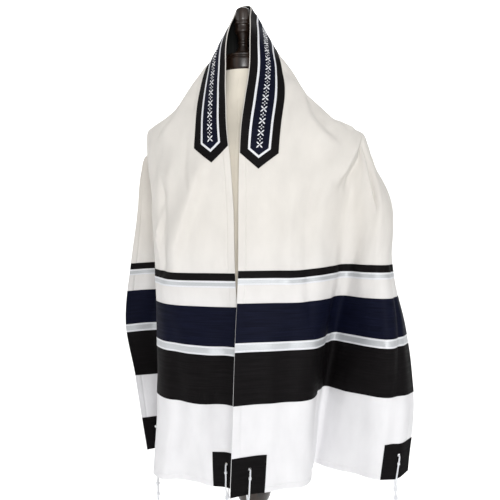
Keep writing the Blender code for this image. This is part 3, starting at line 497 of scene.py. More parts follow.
def fold_height(along, across):
    """How far the folds move points of the cloth outwards."""
    total = np.zeros_like(along)
    for side, inner, outer, height, line in FOLDS:
        places = lengths_along(line)
        shares = np.linspace(0, 1, FOLD_SAMPLES)
        route = smooth_table(places, line, shares * places[-1])
        runs = unit(np.gradient(route, axis=0))
        reach = FOLD_REACH * max(inner, outer)
        low, high = route.min(axis=0) - reach, route.max(axis=0) + reach
        near = ((side * along >= 0) & (abs(along) > low[0]) & (abs(along) < high[0])
                & (across > low[1]) & (across < high[1]))
        flat = np.stack([abs(along[near]), across[near]], axis=1)
        gaps = flat[:, None] - route
        nearest = (gaps ** 2).sum(axis=2).argmin(axis=1)
        gap = gaps[np.arange(len(flat)), nearest]
        run = runs[nearest]
        aside = run[:, 0] * gap[:, 1] - run[:, 1] * gap[:, 0]
        share = shares[nearest] + (run * gap).sum(axis=1) / places[-1]
        shape = np.exp(-(aside / np.where(aside > 0, outer, inner)) ** 2)
        total[near] += height * faded(share, FOLD_END) * shape
    return total


def wave_height(along, across):
    """Low waves in many directions, mostly up and down the hanging cloth."""
    dice = random.Random(WAVE_SEED)
    total = np.zeros_like(along)
    for _ in range(WAVE_COUNT):
        length = dice.uniform(*WAVE_LENGTHS)
        turn = dice.gauss(math.pi / 2, WAVE_SPREAD)
        phase = dice.uniform(0, 2 * math.pi)
        reach = along * math.cos(turn) + across * math.sin(turn)
        height = WAVE_HEIGHT * length / WAVE_LENGTHS[1]
        total += height * np.sin(2 * math.pi * reach / length + phase)
    return total


def grid_lines(keys, step):
    """Positions through all the keys, no further apart than step."""
    keys = sorted(set(round(float(key), 4) for key in keys))
    lines = [keys[0]]
    for low, high in zip(keys, keys[1:]):
        count = max(1, math.ceil((high - low) / step - TINY))
        lines += [low + (high - low) * k / count for k in range(1, count + 1)]
    return np.array(lines)


def eyelet_lines(middle):
    """Fine grid lines on both sides of an eyelet's middle."""
    return list(np.arange(middle - EYELET_HALF, middle + EYELET_HALF + TINY, FINE_STEP))


def cloth_alongs():
    """Grid lines across the cloth, the same for every layer."""
    heights = [0, PATCH_SIDE] + [END_HEM + reach for reach, _ in HEM_PROFILE]
    heights += [edge for band in BANDS.values() for edge in band]
    heights += eyelet_lines(EYELET_HEIGHT)
    keys = [HALF_LENGTH - height for height in heights]
    return grid_lines([-key for key in keys] + [0] + keys, ALONG_STEP)


def cloth_acrosses():
    """Grid lines along the cloth, the same for every layer."""
    keys = [0, PATCH_SIDE] + [SIDE_HEM + reach for reach, _ in HEM_PROFILE]
    keys += [WIDTH - key for key in keys] + list(NECKBAND_ACROSS)
    keys += eyelet_lines(EYELET_ASIDE) + eyelet_lines(WIDTH - EYELET_ASIDE)
    front = grid_lines([key for key in keys if key < FRONT_WIDTH] + [FRONT_WIDTH], FRONT_STEP)
    rest = grid_lines([FRONT_WIDTH] + [key for key in keys if key > FRONT_WIDTH], GRID_STEP)
    return np.concatenate([front, rest[1:]])


def flat_grid(alongs, acrosses, eyelets=()):
    """Flat points and quads on grid lines, with a round hole at each eyelet."""
    along, across = np.meshgrid(alongs, acrosses, indexing="ij")
    flat = np.stack([along, across], axis=-1).reshape(-1, 2)
    columns = len(acrosses)
    i, j = np.meshgrid(range(len(alongs) - 1), range(columns - 1), indexing="ij")
    first = (i * columns + j).ravel()
    quads = np.stack([first, first + columns, first + columns + 1, first + 1], axis=1)
    middles = flat[quads].mean(axis=1)
    extra = []
    rings = []
    for eyelet in eyelets:
        inside = (abs(middles - eyelet) < EYELET_HALF).all(axis=1)
        if not inside.any():
            continue
        previous = chain(open_edges(quads[inside]))
        square = flat[previous]
        circle = eyelet + EYELET_RADIUS * unit(square - eyelet)
        for k in range(1, EYELET_RINGS + 1):
            ring = len(flat) + sum(map(len, extra)) + np.arange(len(square))
            extra.append(square + (circle - square) * (k / EYELET_RINGS))
            rings.append(np.stack([previous, np.roll(previous, -1), np.roll(ring, -1), ring], 1))
            previous = ring
        quads = quads[~inside]
        middles = middles[~inside]
    if extra:
        flat = np.concatenate([flat] + extra)
        quads = np.concatenate([quads] + rings)
    return flat, quads


def open_edges(quads):
    """The directed edges that only one quad has."""
    edges = np.concatenate([quads[:, [k, (k + 1) % 4]] for k in range(4)])
    present = set(map(tuple, edges.tolist()))
    return [edge for edge in edges.tolist() if (edge[1], edge[0]) not in present]


def chain(edges):
    """One closed loop of points out of directed edges."""
    after = dict(edges)
    loop = [edges[0][0]]
    while after[loop[-1]] != loop[0]:
        loop.append(after[loop[-1]])
    return np.array(loop)


# ---------------------------------------------------------------- meshes

SHARP_ANGLE = math.radians(50)
# Directions that no tube or twist runs along, to start their rings from.
TUBE_ASIDE = (0.3, 0.9, 0.2)
TWIST_ASIDE = (0.35, 0.2, 0.9)
# Turned pieces: how far and how finely their corners are rounded, and their sides.
CORNER_ROUND = 0.3
CORNER_SHARE = 0.4
CORNER_STEPS = 5
LATHE_SIDES = 72


@functools.lru_cache(maxsize=1)
def cloth_surface():
    """The surface that every layer shares, worked out once."""
    return ClothSurface()


def add_mesh(name, points, faces, finishes, flat=None, paint=None):
    """A mesh object out of points in centimetres; flat gives the cut's coordinates."""
    points = np.asarray(points, float) * CM
    faces = [list(face) for face in faces]
    mesh = bpy.data.meshes.new(name)
    mesh.from_pydata(points.tolist(), [], faces)
    for finish in finishes:
        mesh.materials.append(finish)
    if paint is not None:
        mesh.polygons.foreach_set("material_index", np.asarray(paint, dtype=np.int32))
    if flat is not None:
        corners = np.empty(len(mesh.loops), dtype=np.int32)
        mesh.loops.foreach_get("vertex_index", corners)
        layer = mesh.uv_layers.new(name="cut")
        layer.data.foreach_set("uv", (np.asarray(flat, float)[corners] * CM).ravel())
    mesh.shade_smooth()
    mesh.set_sharp_from_angle(angle=SHARP_ANGLE)
    piece = bpy.data.objects.new(name, mesh)
    bpy.context.scene.collection.objects.link(piece)
    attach(piece, "root")
    return piece


def shell(name, flat, quads, low, high, finishes, paint=None):
    """A closed layer of cloth between two heights over the surface."""
    used = np.unique(quads)
    place = np.full(len(flat), -1)
    place[used] = np.arange(len(used))
    quads = place[quads]
    flat = flat[used]
    low = np.broadcast_to(low(flat) if callable(low) else low, len(flat))
    high = np.broadcast_to(high(flat) if callable(high) else high, len(flat))
    count = len(flat)
    edges = np.array(open_edges(quads))
    rim = np.stack([edges[:, 1], edges[:, 0], edges[:, 0] + count, edges[:, 1] + count], axis=1)
    faces = np.concatenate([quads, quads[:, ::-1] + count, rim])
    surface = cloth_surface()
    points = np.concatenate([surface.at(flat, high), surface.at(flat, low)])
    double = np.concatenate([flat, flat])
    turned = np.repeat((False, True, False), (len(quads), len(quads), len(rim)))
    index = None if paint is None else paint(double[faces].mean(axis=1), turned)
    return add_mesh(name, points, faces, finishes, double, index)


def within(lines, low, high):
    """The grid lines from low to high, both included."""
    return lines[(lines >= low - TINY) & (lines <= high + TINY)]


def ring_turns(sides):
    """Angles of even points round a ring."""
    return 2 * math.pi * np.arange(sides) / sides


def ring_faces(rings, sides, downwards=False):
    """Faces of a closed body out of rings of points, with both of its ends."""
    faces = []
    for row in range(rings - 1):
        for k in range(sides):
            a = row * sides + k
            b = row * sides + (k + 1) % sides
            faces.append((a, b, b + sides, a + sides))
    faces.append(tuple(reversed(range(sides))))
    faces.append(tuple(range((rings - 1) * sides, rings * sides)))
    return [face[:1] + face[:0:-1] for face in faces] if downwards else faces


def tube(route, radius, sides=6):
    """Points and faces of a closed tube along a route; radius may change along it."""
    route = np.asarray(route, float)
    runs = unit(np.gradient(route, axis=0))
    aside = np.cross(runs[0], TUBE_ASIDE)
    turns = ring_turns(sides)
    points = []
    for centre, run, size in zip(route, runs, np.broadcast_to(radius, len(route))):
        aside = unit(aside - run * np.dot(aside, run))
        over = np.cross(run, aside)
        points += [centre + size * (math.cos(turn) * aside + math.sin(turn) * over)
                   for turn in turns]
    return points, ring_faces(len(route), sides)


def join_parts(parts):
    """One list of points and one of faces out of several."""
    points = []
    faces = []
    for part_points, part_faces in parts:
        start = len(points)
        points.extend(part_points)
        faces.extend(tuple(start + k for k in face) for face in part_faces)
    return points, faces


def rounded(profile):
    """A turned profile with its corners rounded off."""
    profile = np.array(profile, float)
    points = [profile[0]]
    for before, corner, after in zip(profile, profile[1:], profile[2:]):
        ways = []
        for other in (before, after):
            length = np.linalg.norm(other - corner)
            ways.append((other - corner) / length * min(CORNER_ROUND, CORNER_SHARE * length))
        for t in np.linspace(0, 1, CORNER_STEPS):
            points.append(corner + ways[0] * (1 - t) ** 2 + ways[1] * t ** 2)
    points.append(profile[-1])
    return np.array(points)


def lathe(profile, centre_y):
    """Points and faces of a turned piece."""
    smooth = rounded(profile)
    turns = ring_turns(LATHE_SIDES)
    points = [(radius * math.cos(turn), centre_y + radius * math.sin(turn), z)
              for radius, z in smooth for turn in turns]
    return points, ring_faces(len(smooth), LATHE_SIDES, downwards=True)


# ---------------------------------------------------------------- finishes

# The Wave texture's scale that gives one ridge to each unit.
ONE_RIDGE = math.pi / 10
STITCH_HEIGHT = 0.0016


class Finish:
    """A material that is put together node by node."""

    def __init__(self, name, colour, roughness):
        self.material = bpy.data.materials.new(name)
        self.material.use_nodes = True
        self.tree = self.material.node_tree
        self.shader = self.tree.nodes["Principled BSDF"]
        self.even(Base_Color=(*colour[:3], 1), Roughness=roughness)

    def even(self, **values):
        """Values that are the same all over the surface, by socket name."""
        for key, value in values.items():
            self.shader.inputs[key.replace("_", " ")].default_value = value

    def add(self, kind, settings=(), **inputs):
        """A node; inputs are values or other nodes' outputs, by socket name or number."""
        node = self.tree.nodes.new(kind)
        for key, value in dict(settings).items():
            setattr(node, key, value)
        for key, value in inputs.items():
            socket = node.inputs[int(key[1:]) if key[1:].isdigit() else key.replace("_", " ")]
            if isinstance(value, bpy.types.NodeSocket):
                self.tree.links.new(value, socket)
            else:
                socket.default_value = value
        return node

    def place(self, scale=(1, 1, 1)):
        """A place on the piece, in metres, times a scale for each axis."""
        place = self.add("ShaderNodeTexCoord").outputs["Object"]
        return self.add("ShaderNodeMapping", Vector=place, Scale=scale).outputs["Vector"]

    def maths(self, operation, first, second=0.0):
        """The output of a Math node."""
        return self.add("ShaderNodeMath", {"operation": operation}, _0=first, _1=second).outputs[0]

    def cut(self, spacing=(1.0, 1.0)):
        """The flat cloth's coordinates, divided by a spacing along and across, in metres."""
        flat = self.add("ShaderNodeUVMap", {"uv_map": "cut"}).outputs["UV"]
        return self.add("ShaderNodeMapping", Vector=flat,
                        Scale=(1 / spacing[0], 1 / spacing[1], 1)).outputs["Vector"]

    def noise(self, vector, detail=2.0, scale=1.0):
        """The value of a Noise texture."""
        return self.add("ShaderNodeTexNoise", Vector=vector, Scale=scale,
                        Detail=detail).outputs["Fac"]

    def threads(self, vector, direction):
        """Evenly spaced ridges, one to each unit of the vector."""
        return self.add("ShaderNodeTexWave", {"bands_direction": direction}, Vector=vector,
                        Scale=ONE_RIDGE, Distortion=0.6, Detail_Scale=2.0).outputs["Fac"]

    def ramp(self, factor, low, high, start=0.0, end=1.0):
        """A colour between two others."""
        node = self.add("ShaderNodeValToRGB", Fac=factor)
        for element, position, colour in zip(node.color_ramp.elements, (start, end), (low, high)):
            element.position = position
            element.color = (*colour[:3], 1)
        return node.outputs["Color"]

    def colour(self, output):
        """Let a node's output give the colour."""
        self.tree.links.new(output, self.shader.inputs["Base Color"])

    def tones(self, value, colour, low, high, start, end):
        """Let a value give the colour, from low to high times as bright."""
        low, high = (tuple(channel * factor for channel in colour[:3]) for factor in (low, high))
        self.colour(self.ramp(value, low, high, start, end))

    def rough(self, value, start, end):
        """Let a value from 0 to 1 give the roughness, from start to end."""
        node = self.add("ShaderNodeMapRange", Value=value, To_Min=start, To_Max=end)
        self.tree.links.new(node.outputs[0], self.shader.inputs["Roughness"])

    def bump(self, height, distance, strength=1.0):
        """Relief of a given depth, in metres."""
        node = self.add("ShaderNodeBump", Height=height, Distance=distance, Strength=strength)
        self.tree.links.new(node.outputs["Normal"], self.shader.inputs["Normal"])

    def sheen(self, weight, roughness):
        """A soft white nap on the cloth."""
        self.even(Sheen_Weight=weight, Sheen_Roughness=roughness, Sheen_Tint=(1, 1, 1, 1))


def wool_finish(settings):
    """The field: fine woven wool, warmer over the shoulders than at its ends."""
    finish = Finish("woven_wool", settings.field_colour, 0.85)
    flat = finish.cut()
    along = finish.add("ShaderNodeSeparateXYZ", Vector=flat).outputs["X"]
    reach = finish.add("ShaderNodeMapRange", {"interpolation_type": "SMOOTHSTEP"},
                       Value=finish.maths("ABSOLUTE", along), From_Min=0.45, From_Max=0.75)
    base = finish.add("ShaderNodeMix", {"data_type": "RGBA"}, Factor=reach.outputs["Result"],
                      _6=(*settings.field_colour, 1), _7=(*settings.end_colour, 1)).outputs[2]
    mottle = finish.ramp(finish.noise(finish.cut((0.05, 0.03)), detail=4),
                         (0.93, 0.93, 0.93), (1.0, 1.0, 1.0), start=0.3, end=0.7)
    finish.colour(finish.add("ShaderNodeMix", {"data_type": "RGBA", "blend_type": "MULTIPLY"},
                             Factor=1.0, _6=base, _7=mottle).outputs[2])
    spacing = settings.thread_spacing
    warp = finish.threads(finish.cut((1, spacing)), "Y")
    weft = finish.threads(finish.cut((spacing, 1)), "X")
    slubs = finish.noise(finish.cut((0.0016, 0.02)))
    relief = finish.maths("ADD", finish.maths("MULTIPLY", warp, weft),
                          finish.maths("MULTIPLY", slubs, 0.6))
    finish.bump(relief, distance=0.0002, strength=0.6)
    finish.sheen(weight=0.05, roughness=0.5)
    return finish.material


def satin_finish(name, colour, settings, slub_depth=0.00035):
    """A woven stripe with horizontal slubs, and a dull sheen."""
    finish = Finish(name, colour, 0.5)
    slubs = finish.noise(finish.cut((0.0022, 0.06)), detail=3)
    fine = finish.noise(finish.cut((0.0007, 0.012)))
    finish.tones(slubs, colour, low=0.72, high=1.45, start=0.3, end=0.72)
    finish.rough(slubs, start=0.72, end=0.52)
    finish.even(Specular_IOR_Level=0.07)
    ribs = finish.threads(finish.cut((settings.thread_spacing * 1.6, 1)), "X")
    relief = finish.maths("ADD", finish.maths("ADD", slubs, finish.maths("MULTIPLY", fine, 0.5)),
                          finish.maths("MULTIPLY", ribs, 0.25))
    finish.bump(relief, slub_depth, strength=0.7)
    return finish.material


def ribbon_finish(name, colour, settings, metallic=0.0, roughness=0.45):
    """A ribbed ribbon with fine lengthwise lines."""
    finish = Finish(name, colour, roughness)
    lines = finish.threads(finish.cut((0.0011, 1)), "X")
    glints = finish.noise(finish.cut((0.0009, 0.0025)), detail=3)
    finish.tones(finish.maths("MULTIPLY", lines, glints), colour, low=0.78, high=1.12,
                 start=0.05, end=0.6)
    finish.bump(finish.maths("ADD", lines, glints), distance=0.0002, strength=0.6)
    finish.even(Metallic=metallic)
    finish.sheen(weight=0.1, roughness=0.4)
    return finish.material


def cotton_finish(name, colour):
    """Twisted cotton thread."""
    finish = Finish(name, colour, 0.8)
    fibres = finish.noise(finish.place((900, 900, 500)), detail=3)
    finish.tones(fibres, colour, low=0.86, high=1, start=0.3, end=0.7)
    finish.bump(fibres, distance=0.0002, strength=0.6)
    finish.sheen(weight=0.3, roughness=0.6)
    return finish.material


def jersey_finish(settings):
    """Fine knit jersey pulled over the form."""
    colour = settings.jersey_colour
    finish = Finish("cream_jersey", colour, 0.88)
    place = finish.place()
    stitches = finish.add("ShaderNodeTexWave", {"bands_direction": "Z"}, Vector=place,
                          Scale=ONE_RIDGE / STITCH_HEIGHT, Distortion=1.2, Detail=1.0,
                          Detail_Scale=900.0).outputs["Fac"]
    mottle = finish.noise(place, detail=4, scale=28.0)
    finish.tones(mottle, colour, low=0.93, high=1, start=0.3, end=0.7)
    finish.bump(stitches, distance=0.00025, strength=0.5)
    finish.sheen(weight=0.3, roughness=0.6)
    return finish.material


def wood_finish(settings):
    """Dark stained and varnished turned wood, its grain running up the axis."""
    colour = settings.wood_colour
    finish = Finish("dark_turned_wood", colour, 0.35)
    grain = finish.noise(finish.place((220, 220, 9)), detail=5)
    rings = finish.noise(finish.place((45, 45, 2.5)), detail=3)
    mix = finish.maths("ADD", finish.maths("MULTIPLY", grain, 0.55),
                       finish.maths("MULTIPLY", rings, 0.45))
    finish.tones(mix, colour, low=0.3, high=2, start=0.36, end=0.68)
    finish.rough(grain, start=0.28, end=0.45)
    finish.bump(grain, distance=0.0002, strength=0.35)
    finish.even(Coat_Weight=0.22, Coat_Roughness=0.18)
    return finish.material


# ---------------------------------------------------------------- settings

def colour_setting(name, description, default):
    """A colour that the user can change."""
    return FloatVectorProperty(name=name, description=f"Colour: {description.lower()}",
                               default=default, subtype="COLOR", size=3, min=0.0, max=1.0)


def length_setting(name, description, default):
    """A length that the user can change."""
    return FloatProperty(name=name, description=description, default=default,
                         subtype="DISTANCE", unit="LENGTH", min=0.0, precision=5)


class TallitClothSettings(PropertyGroup):
    """Cloth, bands, patches and neckband."""

    thread_spacing: length_setting("Thread spacing", "Distance between threads of the weave",
                                   0.0008)
    field_colour: colour_setting("Field", "Wool over the shoulders", (0.73, 0.70, 0.655))
    end_colour: colour_setting("Ends", "Wool round the bands", (0.82, 0.815, 0.83))
    # Dark colour painted on the cloth's back round the neckband: partly the black band showing through,
    # mostly painted shade.
    show_through_and_shade_colour: colour_setting("Backing", "Inner face behind the neckband",
                                  (0.02, 0.021, 0.02))
    black_colour: colour_setting("Black", "Black bands, patches and neckband",
                                 (0.0045, 0.0038, 0.0042))
    navy_colour: colour_setting("Navy", "Navy bands and panel", (0.0032, 0.0042, 0.0135))
    silver_colour: colour_setting("Silver", "Middle of the ribbons", (0.60, 0.62, 0.64))
    trim_colour: colour_setting("White trim", "Ribbon edges, braid and ornament",
                                (0.82, 0.83, 0.86))


class TallitStringSettings(PropertyGroup):
    """Corner strings."""

    thread_radius: length_setting("Thread radius", "Radius of one string", 0.0006)
    cord_radius: length_setting("Cord radius", "Radius of the wound cord", 0.0021)
    knot_radius: length_setting("Knot radius", "Radius of the double knots", 0.0040)
    strands: IntProperty(name="Free strands", description="Strings that hang below the last knot",
                         default=8, min=2, max=16)
    colour: colour_setting("Strings", "Cotton strings", (0.80, 0.81, 0.84))


class TallitFormSettings(PropertyGroup):
    """Dress form and stand."""

    jersey_colour: colour_setting("Jersey", "Cover of the form", (0.80, 0.74, 0.63))
    wood_colour: colour_setting("Wood", "Turned wood", (0.017, 0.009, 0.0055))
    seam_radius: length_setting("Seam radius", "Radius of the form's raised seams", 0.0007)


class TallitStageSettings(PropertyGroup):
    """Camera, lights and backdrop."""

    azimuth: FloatProperty(name="Azimuth", description="Turn of the camera round the form",
                           default=math.radians(CAMERA_AZIMUTH), subtype="ANGLE")
    distance: length_setting("Distance", "Camera to the form's axis", CAMERA_DISTANCE)
    height: length_setting("Height", "Camera over the floor", CAMERA_HEIGHT)
    backdrop_colour: colour_setting("Backdrop", "Floor and wall", (0.93, 0.93, 0.93))
    key_power: FloatProperty(name="Key light", description="Power of the main light",
                             default=37.0, min=0.0, subtype="POWER", unit="POWER")
    sky: FloatProperty(name="Sky", description="Strength of the even light from all round",
                       default=0.42, min=0.0)


# ---------------------------------------------------------------- cloth

def back_show_through_and_shade(flat, turned):
    """Whether each face lies on the cloth's back round the neckband, painted dark: the band's black
    showing through and painted shade, only painted shade past its edge.
    """
    return (turned & (abs(flat[:, 0] - NECKBAND_SHIFT) < NECKBAND_CORNER)
            & (flat[:, 1] > SHOW_THROUGH_AND_SHADE_ACROSS[0]) & (flat[:, 1] < SHOW_THROUGH_AND_SHADE_ACROSS[1]))


def hem_reach(flat):
    """How far each flat point lies inside the inner edges of the hems."""
    aside = np.minimum(flat[:, 1], WIDTH - flat[:, 1]) - SIDE_HEM
    below = HALF_LENGTH - abs(flat[:, 0]) - END_HEM
    return np.minimum(aside, below)


class TALLIT_OT_cloth(Operator):
    """Drape the shawl's cloth with its hems and eyelets"""

    bl_idname = "tallit.cloth"
    bl_label = "Cloth"

    def execute(self, context):
        settings = context.scene.tallit_cloth
        # The back of the wool round the neckband is painted dark: the band's black showing through it,
        # with painted shade that reaches past the band's edge.
        show_through_and_shade = satin_finish("wool_back_show_through_and_shade", settings.show_through_and_shade_colour, settings, 0.0001)
        flat, quads = flat_grid(cloth_alongs(), cloth_acrosses(), EYELETS)
        piece = shell("shawl_wool", flat, quads,
                      lambda flat: -CLOTH_FACE - HEM_BACK * (hem_reach(flat) < HEM_EASE),
                      lambda flat: CLOTH_FACE + np.interp(hem_reach(flat), *zip(*HEM_PROFILE)),
                      [wool_finish(settings), show_through_and_shade], back_show_through_and_shade)
        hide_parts("shawl_cloth")
        return {"FINISHED"}


# Ribbons have white edges of this width and rise. Sewn pieces stop a little inside the
# edges of their place.
RIBBON_EDGE = 0.3
RIBBON_EDGE_RISE = 0.012
BAND_INSET = 0.015


def inset(lines):
    """Grid lines with the first and the last moved a little inwards."""
    return np.concatenate([lines[:1] + BAND_INSET, lines[1:-1], lines[-1:] - BAND_INSET])


def on_ribbon_edge(flat, inner, outer):
    """Whether each flat point lies on a ribbon's white edges."""
    reach = (outer - inner) / 2 - RIBBON_EDGE
    return abs(flat[:, 0] - (inner + outer) / 2) > reach - TINY


class TALLIT_OT_bands(Operator):
    """Lay the black and navy bands and the silver ribbons across both ends"""

    bl_idname = "tallit.bands"
    bl_label = "Bands"

    def execute(self, context):
        settings = context.scene.tallit_cloth
        white = ribbon_finish("white_selvedge", settings.trim_colour, settings)
        silver = ribbon_finish("silver_ribbon", settings.silver_colour, settings, 0.35, 0.4)
        finishes = {
            "black": [satin_finish("black_stripe", settings.black_colour, settings)],
            "navy": [satin_finish("navy_stripe", settings.navy_colour, settings)],
            "silver": [silver, white],
        }
        acrosses = inset(cloth_acrosses())
        for side, end in ((-1, "left"), (1, "right")):
            for name, heights in BANDS.items():
                kind = name.split("_")[1]
                inner, outer = sorted(side * (HALF_LENGTH - height) for height in heights)
                alongs = within(cloth_alongs(), inner, outer)
                if kind == "silver":
                    seams = (inner + RIBBON_EDGE, outer - RIBBON_EDGE)
                    alongs = grid_lines([*alongs, *seams], GRID_STEP)
                flat, quads = flat_grid(inset(alongs), acrosses)
                layer = (f"{name}_{end}_sewn", flat, quads, LAYER_FROM)
                if kind == "silver":
                    rise = RIBBON_EDGE_RISE * on_ribbon_edge(flat, inner, outer)
                    piece = shell(*layer, LAYER_TOP + rise, finishes[kind],
                                  lambda faces, turned: on_ribbon_edge(faces, inner, outer))
                else:
                    piece = shell(*layer, LAYER_TOP, finishes[kind])
                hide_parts(f"{name}_{end}")
        return {"FINISHED"}


# A patch's colour as a share of the bands'. The rim of stitches round an eyelet: their
# number, the rim's radius, its half thickness and how much that swells at each stitch.
PATCH_DARKER = 0.9
RIM_STITCHES = 26
RIM_STITCH_STEPS = 6
RIM_RADIUS = 0.32
RIM_THICK = 0.055
RIM_SWELL = 0.018


class TALLIT_OT_patches(Operator):
    """Sew a black patch with a stitched eyelet on each corner"""

    bl_idname = "tallit.patches"
    bl_label = "Corner patches"

    def execute(self, context):
        settings = context.scene.tallit_cloth
        black = [channel * PATCH_DARKER for channel in settings.black_colour]
        satin = satin_finish("black_patch", black, settings, 0.0002)
        thread = satin_finish("eyelet_thread", settings.black_colour, settings, 0.0001)
        for along, across in EYELETS:
            side = 1 if along > 0 else -1
            edges = sorted((side * HALF_LENGTH, side * (HALF_LENGTH - PATCH_SIDE)))
            reach = (0, PATCH_SIDE) if across < WIDTH / 2 else (WIDTH - PATCH_SIDE, WIDTH)
            flat, quads = flat_grid(inset(within(cloth_alongs(), *edges)),
                                    inset(within(cloth_acrosses(), *reach)), [(along, across)])
            end = ("left", "right")[side > 0] + ("_front" if across < WIDTH / 2 else "_side")
            piece = shell(f"corner_patch_{end}_sewn", flat, quads, LAYER_FROM, LAYER_TOP, [satin])
            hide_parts(f"corner_patch_{end}")

            turns = np.linspace(0, 2 * math.pi, RIM_STITCHES * RIM_STITCH_STEPS + 1)
            ring = (along, across) + RIM_RADIUS * np.stack([np.cos(turns), np.sin(turns)], 1)
            thick = RIM_THICK + RIM_SWELL * np.cos(turns * RIM_STITCHES)
            points, faces = tube(cloth_surface().at(ring, LAYER_TOP), thick, sides=8)
            rim = add_mesh(f"eyelet_rim_{end}", points, faces, [thread])
        return {"FINISHED"}


# ---------------------------------------------------------------- neckband

# The grid runs straight to this place along, and is drawn out from there to the points.
NECKBAND_STRAIGHT = 30.0
POINT_STEPS = 12
# The panel's height over the ground, and the braid's top over the panel, from its outer
# edge to its inner one.
PANEL_GAP = 0.01
TRIM_HEIGHTS = (0.025, 0.07, 0.055, 0.07, 0.025)
# The ornament: flowers and lozenges by turns, each of four petals round its middle.
# Petals: turn of the first, distance from the middle, length, width and height.
MOTIF_STEP = 2.2
MOTIF_MARGIN = 1.2
FLOWER_PETALS = (math.pi / 4, 0.44, 0.7, 0.26, 0.05)
LOZENGE_PETALS = (0.0, 0.31, 0.34, 0.2, 0.045)
FLOWER_HEART = (0.24, 0.24, 0.06)
PETAL_SIDES = 14
PETAL_TAPER = 0.35
# A petal's rings: size and height, as shares of the whole.
PETAL_RINGS = ((1.0, 0.0), (0.93, 0.6), (0.6, 1.0))


def neckband_tip(margin):
    """How far along the neckband's point reaches, moved inwards by a margin."""
    slant = math.hypot(NECKBAND_POINT, NECKBAND_HALF) / NECKBAND_HALF
    return NECKBAND_CORNER + NECKBAND_POINT - margin * slant


def neckband_grid(margin):
    """Flat points and quads of the neckband with its two points."""
    low, high = NECKBAND_ACROSS[0] + margin, NECKBAND_ACROSS[1] - margin
    middle = (low + high) / 2
    acrosses = within(cloth_acrosses(), low, high)
    acrosses = grid_lines([low, middle, high, *acrosses], GRID_STEP)
    straight = within(cloth_alongs(), -NECKBAND_STRAIGHT, NECKBAND_STRAIGHT)
    straight = grid_lines([-NECKBAND_STRAIGHT, *straight, NECKBAND_STRAIGHT], GRID_STEP)
    ends = NECKBAND_STRAIGHT + np.arange(1, POINT_STEPS + 1) / POINT_STEPS
    alongs = np.concatenate([-ends[::-1], straight, ends])
    flat, quads = flat_grid(alongs, acrosses)
    reach = neckband_tip(margin) - NECKBAND_POINT * abs(flat[:, 1] - middle) / NECKBAND_HALF
    beyond = abs(flat[:, 0]) - NECKBAND_STRAIGHT
    stretched = np.sign(flat[:, 0]) * (NECKBAND_STRAIGHT + beyond * (reach - NECKBAND_STRAIGHT))
    flat[:, 0] = np.where(beyond > TINY, stretched, flat[:, 0]) + NECKBAND_SHIFT
    return flat, quads


def neckband_corners(margin):
    """The six corners of the neckband's outline, moved inwards by a margin."""
    low, high = NECKBAND_ACROSS[0] + margin, NECKBAND_ACROSS[1] - margin
    tip = neckband_tip(margin)
    corner = tip - NECKBAND_POINT * (high - low) / (2 * NECKBAND_HALF)
    middle = (low + high) / 2
    return np.array([(-corner, low), (corner, low), (tip, middle),
                     (corner, high), (-corner, high), (-tip, middle)]) + (NECKBAND_SHIFT, 0)


def trim_grid():
    """Flat points, quads and heights of the braid that frames the panel."""
    outer = neckband_corners(TRIM_INSET)
    inner = neckband_corners(TRIM_INSET + TRIM_WIDTH)
    shares = np.linspace(0, 1, len(TRIM_HEIGHTS))
    rows = []
    for outer0, outer1, inner0, inner1 in zip(outer, np.roll(outer, -1, axis=0),
                                              inner, np.roll(inner, -1, axis=0)):
        count = math.ceil(np.linalg.norm(outer0 - outer1) / GRID_STEP)
        for step in range(count):
            out = outer0 + (outer1 - outer0) * (step / count)
            into = inner0 + (inner1 - inner0) * (step / count)
            rows.append([out + (into - out) * share for share in shares])
    flat = np.array(rows).reshape(-1, 2)
    width = len(TRIM_HEIGHTS)
    quads = []
    for row in range(len(rows)):
        a = row * width
        b = (row + 1) % len(rows) * width
        quads += [(a + k, b + k, b + k + 1, a + k + 1) for k in range(width - 1)]
    return flat, np.array(quads), np.tile(TRIM_HEIGHTS, len(rows))


def petal(middle, turn, length, width, base, height):
    """A satin-stitched petal: a low closed dome on the surface."""
    turns = ring_turns(PETAL_SIDES)
    along = np.array((math.cos(turn), math.sin(turn)))
    aside = np.array((-math.sin(turn), math.cos(turn)))
    reach = np.cos(turns) * length / 2
    swell = np.sin(turns) * width / 2 * (1 - PETAL_TAPER * np.cos(turns) ** 2)
    outline = reach[:, None] * along + swell[:, None] * aside
    points = [cloth_surface().at(middle + outline * size, base + height * lift)
              for size, lift in PETAL_RINGS]
    return list(np.concatenate(points)), ring_faces(len(PETAL_RINGS), PETAL_SIDES)


def motif(middle, petals, base):
    """Four like petals round a middle."""
    first, away, length, width, height = petals
    parts = []
    for quarter in range(4):
        turn = first + quarter * math.pi / 2
        place = middle + away * np.array((math.cos(turn), math.sin(turn)))
        parts.append(petal(place, turn, length, width, base, height))
    return parts


